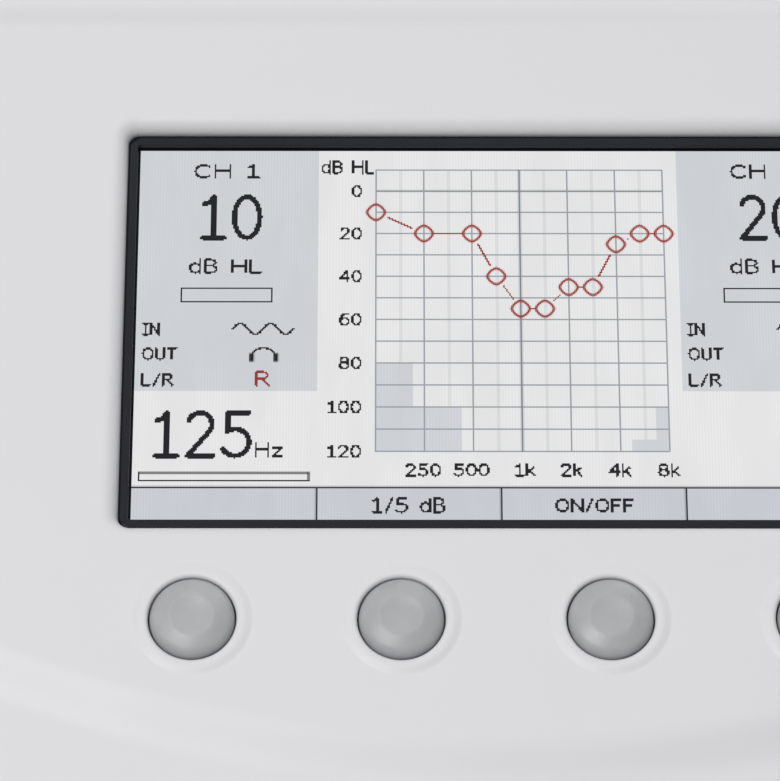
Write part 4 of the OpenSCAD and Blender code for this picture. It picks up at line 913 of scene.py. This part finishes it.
# Keys
def domeProfile():
    radius, rounding = dome["radius"], dome["rounding"]
    sag = dome["height"] - dome["edge"]
    ball = (radius * radius + sag * sag) / (2 * sag)
    middle = dome["height"] - ball
    rounded = math.sqrt((ball - rounding) ** 2 - (radius - rounding) ** 2) + middle
    meeting = math.degrees(math.asin((radius - rounding) / (ball - rounding)))
    rows = [(0, -dome["stemEnd"]), (dome["stem"], -dome["stemEnd"]), (dome["stem"], dome["flangeLow"]),
            (dome["flange"], dome["flangeLow"]), (dome["flange"], dome["flangeTop"]), (radius, dome["flangeTop"])]
    rows += roundCorner((radius - rounding, rounded), rounding, 0, 90 - meeting, 6)
    edge = ball * math.sin(math.radians(meeting))
    for reach in np.linspace(edge, 0, 30)[1:]:
        crown = middle + math.sqrt(ball * ball - reach * reach)
        touch = dome["height"] - dome["dimple"] + dome["dimpleBall"] - math.sqrt(
            dome["dimpleBall"] ** 2 - reach * reach)
        rows.append((reach, float(softLeast(crown, touch, dome["softEdge"]))))
    return rows


def domeKeys():
    rows = domeProfile()
    for node, spot in keySpots.items():
        points, faces = revolve(rows, 80)
        settle(makePiece(node + "Cap", onDeck(points, spot), faces), node, "key_plastic", node, sharp=50)


def toneKeys():
    rows = [(2.0, -3.85), (2.0, -2.65), (0, -2.65), (0, 1.2), (-0.06, 1.36), (-0.2, 1.47), (-0.4, 1.5), (-0.5, 1.56),
            (-0.5, 1.7), (-0.56, 1.86), (-0.7, 1.96), (-0.95, 2.0), (-3, 1.93), (-5, 1.84), (-7, 1.78), (-8.6, 1.76)]
    for node, spot in toneSpots.items():
        piece = makePiece(node + "Cap", *pillSolid(rows, spot))
        stems = [rod(spot + np.array([side * tone["stemOut"], 0, 0]), dome["stem"], -dome["stemEnd"], -3.2, 32)
                 for side in (-1, 1)]
        combine(piece, stems, "UNION")
        settle(piece, node, "key_plastic", node)


def toneLamps():
    rows = [(0, -9.95), (1.5, -9.95), (1.5, -3.7), (lampFlange, -3.7), (lampFlange, -2.6), (1.5, -2.6), (1.5, 0.05),
            (1.42, 0.2), (1.2, 0.31), (0.8, 0.38), (0, 0.4)]
    points, faces = revolve(rows, 32)
    lamps = joined([(onDeck(points, spot), faces) for spot in lampSpots])
    settle(makePiece("toneLamps", *lamps), "case", "lamp", "tone_lamps")


# Knobs
def knobCap(name, spot):
    rounded, cut = knob["skirtRound"], knob["skirtCut"]
    rows = [(knob["hollow"], knob["low"]), (knob["skirt"] - rounded, knob["low"]),
            (knob["skirt"], knob["low"] + rounded), (knob["skirt"], knob["skirtTop"] - cut),
            (knob["skirt"] - cut, knob["skirtTop"]), (knob["core"], knob["skirtTop"])]
    side = knob["core"] - knob["crownIn"]
    for angle in np.linspace(0, math.pi / 2, 13):
        rows.append((side + knob["crownIn"] * math.cos(angle),
                     knob["top"] - knob["crownDrop"] * (1 - math.sin(angle))))
    rows += [(reach, knob["top"]) for reach in np.linspace(side, 0, 40)[1:]]
    inside = [(0, knob["shaftTop"]), (knob["hub"], knob["shaftTop"]), (knob["hub"], knob["hollowTop"]),
              (knob["hollow"], knob["hollowTop"])]
    points, faces = revolve(inside + rows, 160)
    upper = points[:, 2] > knob["top"] - knob["crownDrop"] - 0.1
    away = np.minimum(np.hypot(points[:, 0], points[:, 1] - knob["markOut"]), knob["markBall"])
    ball = knob["top"] + knob["markBall"] - knob["markDeep"] - np.sqrt(knob["markBall"] ** 2 - away ** 2)
    points[upper, 2] = softLeast(points[upper, 2], ball[upper], knob["softEdge"])  # the finger dimple
    settle(makePiece(name + "Cap", onDeck(points, spot), faces), name, "knob_plastic", name)


grip = {"count": 30, "radius": 23, "core": 20.55, "low": 2.65, "high": 13.71, "flute": 1.2, "fluteOut": 0.5,
        "rounding": 0.6, "steps": 12, "softEdge": 0.08, "proud": 0.02}


def gripSegment():  # one flute with half a rib on either side
    section = wholeTurn / grip["count"]
    angles = np.linspace(-section / 2, section / 2, grip["steps"] + 1)
    out = grip["radius"] + grip["fluteOut"]
    hollow = out * np.cos(angles) - np.sqrt(np.maximum(grip["flute"] ** 2 - (out * np.sin(angles)) ** 2, 0))
    reach = softLeast(grip["radius"], hollow, grip["softEdge"]) + grip["proud"]
    edge, points = grip["rounding"], []
    rows = [(None, grip["low"]), (-edge, grip["low"]), (-edge * 0.3, grip["low"] + edge * 0.3),
            (0, grip["low"] + edge), (0, grip["high"] - edge), (-edge * 0.3, grip["high"] - edge * 0.3),
            (-edge, grip["high"]), (None, grip["high"])]
    for inset, height in rows:
        radii = np.full(len(angles), grip["core"]) if inset is None else reach + inset
        points.append(np.column_stack([radii * np.cos(angles), radii * np.sin(angles), np.full(len(angles), height)]))
    count, faces = len(angles), []
    for row in range(len(rows)):
        low, high = row * count, (row + 1) % len(rows) * count
        faces += [(low + i, low + i + 1, high + i + 1, high + i) for i in range(count - 1)]
    return makePiece("gripSegment", np.concatenate(points), faces)


def knobGrip(node, body, spot):
    piece = makePiece(node + "Ring", [(0, 0, 0)], [])
    grow(piece, aroundCopies, {"Source": gripSegment(), "Count": grip["count"], "Material": finishes["grip_rubber"]})
    movePoints(piece, lambda points: onDeck(points, spot))
    settle(piece, body, "grip_rubber", node)


domeKeys()
toneKeys()
toneLamps()
for name, spot in knobSpots.items():
    knobCap(name, spot)
    knobGrip(name + "_grip", name, spot)
print("keys and knobs made")


# Speaker grille
def speakerGrille():
    look = {"pitch": 3.1, "reach": 14.5, "hole": 0.9}
    profile = [(16.5, -1.7), (16.5, -3.5), (20.5, -3.5), (20.5, -2.55), (18, -2.55), (18, -0.65), (17.92, -0.5),
               (17.75, -0.42), (17.5, -0.4)]
    piece = makePiece("grillePlate", *skin([circle(r, z, 96) for r, z in profile]))
    grow(piece, perforate, {"Pitch": look["pitch"], "Reach": look["reach"], "Hole": look["hole"],
                            "Material": finishes["black_plastic"]})
    movePoints(piece, lambda points: onDeck(points, grilleSpot))
    settle(piece, "case", "black_plastic", "speaker_grille")


speakerGrille()


rear = {"face": 115.8, "socket": 20.5, "nose": 3.2, "panel": 2.05, "ridge": 0.22, "ridgePitch": 0.5, "noseCut": 0.45,
        "leadIn": 0.4, "nutHeight": 2.0, "nutGap": 0.05}
largeJack = {"bore": 3.25, "nose": 4.5, "nut": 6.6, "nutBore": 4.55}
smallJack = {"bore": 1.8, "nose": 3.0, "nut": 4.6, "nutBore": 3.05}
jacks = {"phones_left_jack": largeJack, "phones_right_jack": largeJack, "bone_jack": largeJack,
         "response_jack": largeJack, "talkback_jack": smallJack}


# Rear: right and up as seen from behind, and out of the panel
def onRear(points, x=0.0, z=rear["socket"]):
    points = np.asarray(points, float)
    return np.column_stack([x - points[:, 0], rear["face"] + points[:, 2], z + points[:, 1]])


def jackSocket(node, jack):  # a housing with a threaded nose
    low, high = nodeBox(node)
    x, nose, bore, ridgeDeep = (low[0] + high[0]) / 2, jack["nose"], jack["bore"], rear["ridge"]
    piece = makePiece(node + "Socket", *boxSolid(low, (high[0], rear["face"] - rear["panel"], high[2])))
    thread = [(0, -3), (nose, -3), (nose, 0.1)]
    for ridge in np.arange(0.3, rear["nose"] - 0.3, rear["ridgePitch"]):
        thread += [(nose - ridgeDeep, ridge), (nose, ridge + ridgeDeep)]
    tip, cut, mouth = rear["nose"], rear["noseCut"], bore + rear["leadIn"]
    thread += [(nose - 0.3, tip - 0.1), (nose - cut, tip), (0, tip)]
    deep = low[1] + 2 - rear["face"]
    drill = [(0, deep), (bore, deep), (bore, tip - cut), (mouth, tip + 0.02), (mouth, tip + 1), (0, tip + 1)]
    for profile, way in ((thread, "UNION"), (drill, "DIFFERENCE")):
        points, faces = revolve(profile, 48)
        combine(piece, [(onRear(points, x), faces)], way)
    settle(piece, "case", "black_plastic", node)
    return x


def hexNut(radius, bore, height):  # with its corners turned off
    steps, sixth = 72, math.pi / 3
    angles = np.arange(steps) * wholeTurn / steps
    flats = radius * math.cos(math.pi / 6) / np.cos((angles + math.pi / 6) % sixth - math.pi / 6)
    rings = []
    for z in (0, 0.15, 0.4, height - 0.4, height - 0.15, height):
        limit = radius * 0.9 + min(z, height - z) * 1.7
        rings.append(circle(np.minimum(flats, limit), z, steps))
    return makePiece("nut", *hoop(rings + [circle(bore, z, steps) for z in (height, 0)]))


def jackNuts(places):
    for name, spots, jack in (("jackNuts", places[:4], largeJack), ("smallJackNut", places[4:], smallJack)):
        source = hexNut(jack["nut"], jack["nutBore"], rear["nutHeight"])
        movePoints(source, lambda points: onRear(points, 0, 0) + (0, rear["nutGap"], 0))
        piece = makePiece(name, [(x, 0, rear["socket"]) for x in spots], [])
        grow(piece, spotCopies, {"Source": source, "Material": finishes["nickel"]})
        settle(piece, "case", slotOf["jack_nuts"], "jack_nuts", finish="nickel")


# Feet and case screws
def rubberFeet():
    profile = [(0, 0.5), (5.6, 0.5), (6.1, 0.35), (6.5, 0.08), (6.9, 0), (8.3, 0), (8.75, 0.16), (9, 0.6), (9, 4),
               (0, 4)]
    source = makePiece("foot", *revolve(profile, 64))
    piece = makePiece("rubberFeet", [(x, y, 0) for x, y in footSpots], [])
    grow(piece, spotCopies, {"Source": source, "Material": finishes["foot_rubber"]})
    settle(piece, "case", "foot_rubber", "rubber_feet")


def caseScrews():
    low, driver = nodeBox("case_screws")[0][2], 1.4
    profile = [(0, 0), (2.6, 0), (2.82, 0.08), (2.9, 0.3), (2.9, 2.4), (1.5, 2.4), (1.5, 26.9), (1.0, 27.4), (0, 27.4)]
    source = makePiece("screw", *revolve(profile, 36))
    combine(source, [skin([circle(driver, z, 6) for z in (-1, 1.3)])], "DIFFERENCE")
    piece = makePiece("caseScrews", [(p[0], p[1], low) for p in casePosts], [])
    grow(piece, spotCopies, {"Source": source, "Material": finishes["steel"]})
    settle(piece, "case", slotOf["case_screws"], "case_screws", finish="steel")


# Printed marks, as thin raised ink
def lettering(text, height, thick=0.02):
    curve = bpy.data.curves.new("lettering", "FONT")
    curve.body, curve.resolution_u, curve.align_x = text, 4, "CENTER"
    curve.extrude = 0.5
    item = bpy.data.objects.new("lettering", curve)
    sceneItems.link(item)
    mesh = evaluated(item)
    points = vertexPoints(mesh)
    faces = [tuple(face.vertices) for face in mesh.polygons]
    bpy.data.objects.remove(item)
    bpy.data.curves.remove(curve)
    bpy.data.meshes.remove(mesh)
    scale = height / 0.68  # a capital's height at size 1
    points = points * (scale, scale, 0) + np.column_stack([points[:, :2] * 0, np.sign(points[:, 2]) * thick])
    return points, faces


def plate(corners, thick=0.02):  # a flat printed shape
    return skin([np.array([(x, y, z) for x, y in corners]) for z in (-thick, thick)])


def printed(name, marks, place, body, finish, slot):
    parts = [(place(np.asarray(points) + (spot[0], spot[1], 0)), faces) for (points, faces), spot in marks]
    settle(makePiece(name, *joined(parts)), body, slot, finish=finish)


def dash(wide, high):
    return plate([(-wide / 2, -high / 2), (wide / 2, -high / 2), (wide / 2, high / 2), (-wide / 2, high / 2)])


def deckMarks():
    look = {"height": 2.4, "above": 10, "knobReach": 29, "sign": 2.6, "line": 0.45, "besideLamp": 6}
    marks, half = [], look["height"] / 2
    for spot, text in zip([keySpots[node] for node in sideKeys], ("IN", "OUT", "L/R") * 2):
        marks.append((lettering(text, look["height"]), (spot[0], spot[1] + look["above"] - half)))
    for node, way in (("freq_down_key", -1), ("freq_up_key", 1)):
        spot = keySpots[node]
        arrow = [(1.6 * way, 0), (-1.2 * way, 1.5 * way), (-1.2 * way, -1.5 * way)]
        marks.append((plate(arrow), (spot[0], spot[1] + look["above"])))
    middle = (keySpots["freq_down_key"] + keySpots["freq_up_key"]) / 2
    marks.append((lettering("Hz", look["height"]), (middle[0], middle[1] + look["above"] - half)))
    slant = look["knobReach"] * math.sqrt(0.5)
    for number, (spot, lamp) in enumerate(zip(knobSpots.values(), lampSpots)):
        marks.append((lettering("dB", look["height"]), (spot[0], spot[1] + look["knobReach"] - 2)))
        for way in (-1, 1):  # minus, and the level half of plus
            marks.append((dash(look["sign"], look["line"]), (spot[0] + way * slant, spot[1] + slant)))
        marks.append((dash(look["line"], look["sign"]), (spot[0] + slant, spot[1] + slant)))
        marks.append((lettering(str(number + 1), look["height"]), (lamp[0] + look["besideLamp"], lamp[1] - half)))
    printed("deckMarks", marks, lambda points: onDeck(points, (0, 0, -island["step"])), "case", "part_black",
            "part_black")


def rearMarks(places):
    look = {"height": 2.0, "z": 27.8, "line": 0.4, "wide": 4, "dash": 0.9, "dashPitch": 1.55}
    marks = [(lettering(str(number + 1), look["height"]), (-x, look["z"])) for number, x in enumerate(places)]
    low, high = nodeBox("dc_inlet")
    x = -(low[0] + high[0]) / 2
    marks.append((dash(look["wide"], look["line"]), (x, look["z"] + 1.7)))  # the sign for direct current
    for step in (-1, 0, 1):
        marks.append((dash(look["dash"], look["line"]), (x + step * look["dashPitch"], look["z"] + 0.6)))
    printed("rearMarks", marks, lambda points: onRear(points, 0, 0), "case", "switch_plastic", "switch_plastic")


def rockerMarks():
    look = {"dip": 3.3, "rise": 0.6 / 8.2, "tilt": 10, "out": 4.6, "pivot": 113.8, "offIn": 1.3, "offOut": 1.7,
            "thick": 0.02, "line": 0.45, "high": 3.4}
    low, high = nodeBox("power_rocker")
    pivotX = (low[0] + high[0]) / 2
    turned, thick = math.radians(look["tilt"]), look["thick"]
    cosine, sine = math.cos(turned), math.sin(turned)
    offSign = [circle(r, z, 36) for r, z in ((look["offOut"], -thick), (look["offOut"], thick),
                                             (look["offIn"], thick), (look["offIn"], -thick))]

    def onRocker(points):
        face = look["dip"] + np.abs(points[:, 0]) * look["rise"] + points[:, 2]
        across = -points[:, 0]
        return np.column_stack([pivotX + across * cosine - face * sine, look["pivot"] + across * sine + face * cosine,
                                rear["socket"] + points[:, 1]])

    marks = [(hoop(offSign), (look["out"], 0)), (dash(look["line"], look["high"]), (-look["out"], 0))]
    printed("rockerMarks", marks, onRocker, "power_rocker", "switch_plastic", "switch_plastic")


socketPlaces = [jackSocket(node, jack) for node, jack in jacks.items()]
jackNuts(socketPlaces)
rubberFeet()
caseScrews()
deckMarks()
rearMarks(socketPlaces)
rockerMarks()
print("rear, feet and marks made")

# Stage, light and camera
studio = {
    "world": 0.18, "floor": (0.86, 0.86, 0.86), "floorReach": 3,
    "lamps": {  # place and aim in metres, width and power
        "mainLamp": ((-0.48, -0.42, 1.28), (0, -0.02, 0.05), 0.7, 10.7),
        "fillLamp": ((0.1, 0.45, 1.5), (0, -0.02, 0.05), 1.5, 5.5),
        "backLamp": ((0.5, 1.3, 0.7), (0, 0.1, 0.03), 0.8, 3.0),
    },
}


def paleFinish(name, colour):
    material, tree, shader, place = startFinish(name, 0.0, 0.1)
    tinted = blendColour(tree, cloud(tree, place, 120), colour, [channel * 0.985 for channel in colour])
    tree.links.new(tinted, shader.inputs["Base Color"])
    shader.inputs["Roughness"].default_value = 0.7
    return material


def stage():
    far = studio["floorReach"]
    floor = makePiece("floor", [(-far, -far, 0), (far, -far, 0), (far, far, 0), (-far, far, 0)], [(0, 1, 2, 3)])
    floor.data.materials.append(paleFinish("paleFloor", studio["floor"]))
    world = bpy.data.worlds.new("studio")
    bpy.context.scene.world = world
    world.use_nodes = True
    tree = world.node_tree
    rays = addNode(tree, "ShaderNodeLightPath").outputs
    seen = reckon(tree, "MAXIMUM", rays["Is Camera Ray"], rays["Is Glossy Ray"])
    seen = reckon(tree, "MAXIMUM", seen, rays["Is Transmission Ray"])
    level = spread(tree, seen, studio["world"], 1.0)
    tree.nodes["Background"].inputs["Color"].default_value = (1, 1, 1, 1)
    tree.links.new(level, tree.nodes["Background"].inputs["Strength"])
    for name, (spot, target, size, power) in studio["lamps"].items():
        lamp = bpy.data.lights.new(name, "AREA")
        lamp.shape, lamp.size, lamp.energy = "DISK", size, power
        item = bpy.data.objects.new(name, lamp)
        item.matrix_world = Matrix.Translation(spot) @ (
            Vector(target) - Vector(spot)).to_track_quat("-Z", "Y").to_matrix().to_4x4()
        sceneItems.link(item)


def camera():
    view = {"lens": 203.54, "sensor": 36, "elevation": 54.552, "azimuth": -0.045, "distance": 573.8,
            "aim": (-14.67, -8.43, -3.3)}
    up, side = math.radians(view["elevation"]), math.radians(view["azimuth"])
    look = Vector((math.sin(side) * math.cos(up), math.cos(side) * math.cos(up), -math.sin(up)))
    item = bpy.data.objects.new("camera", bpy.data.cameras.new("camera"))
    item.data.lens, item.data.sensor_width = view["lens"], view["sensor"]
    item.data.clip_start, item.data.clip_end = 0.01, 20
    aim = Vector(onDeck([view["aim"]])[0]) * mm
    turned = look.to_track_quat("-Z", "Y").to_matrix().to_4x4()
    item.matrix_world = Matrix.Translation(aim - look * view["distance"] * mm) @ turned
    sceneItems.link(item)
    bpy.context.scene.camera = item


stage()
camera()
print("stage, light and camera set")
bpy.context.scene.view_settings.view_transform = "Standard"
bpy.context.view_layer.update()
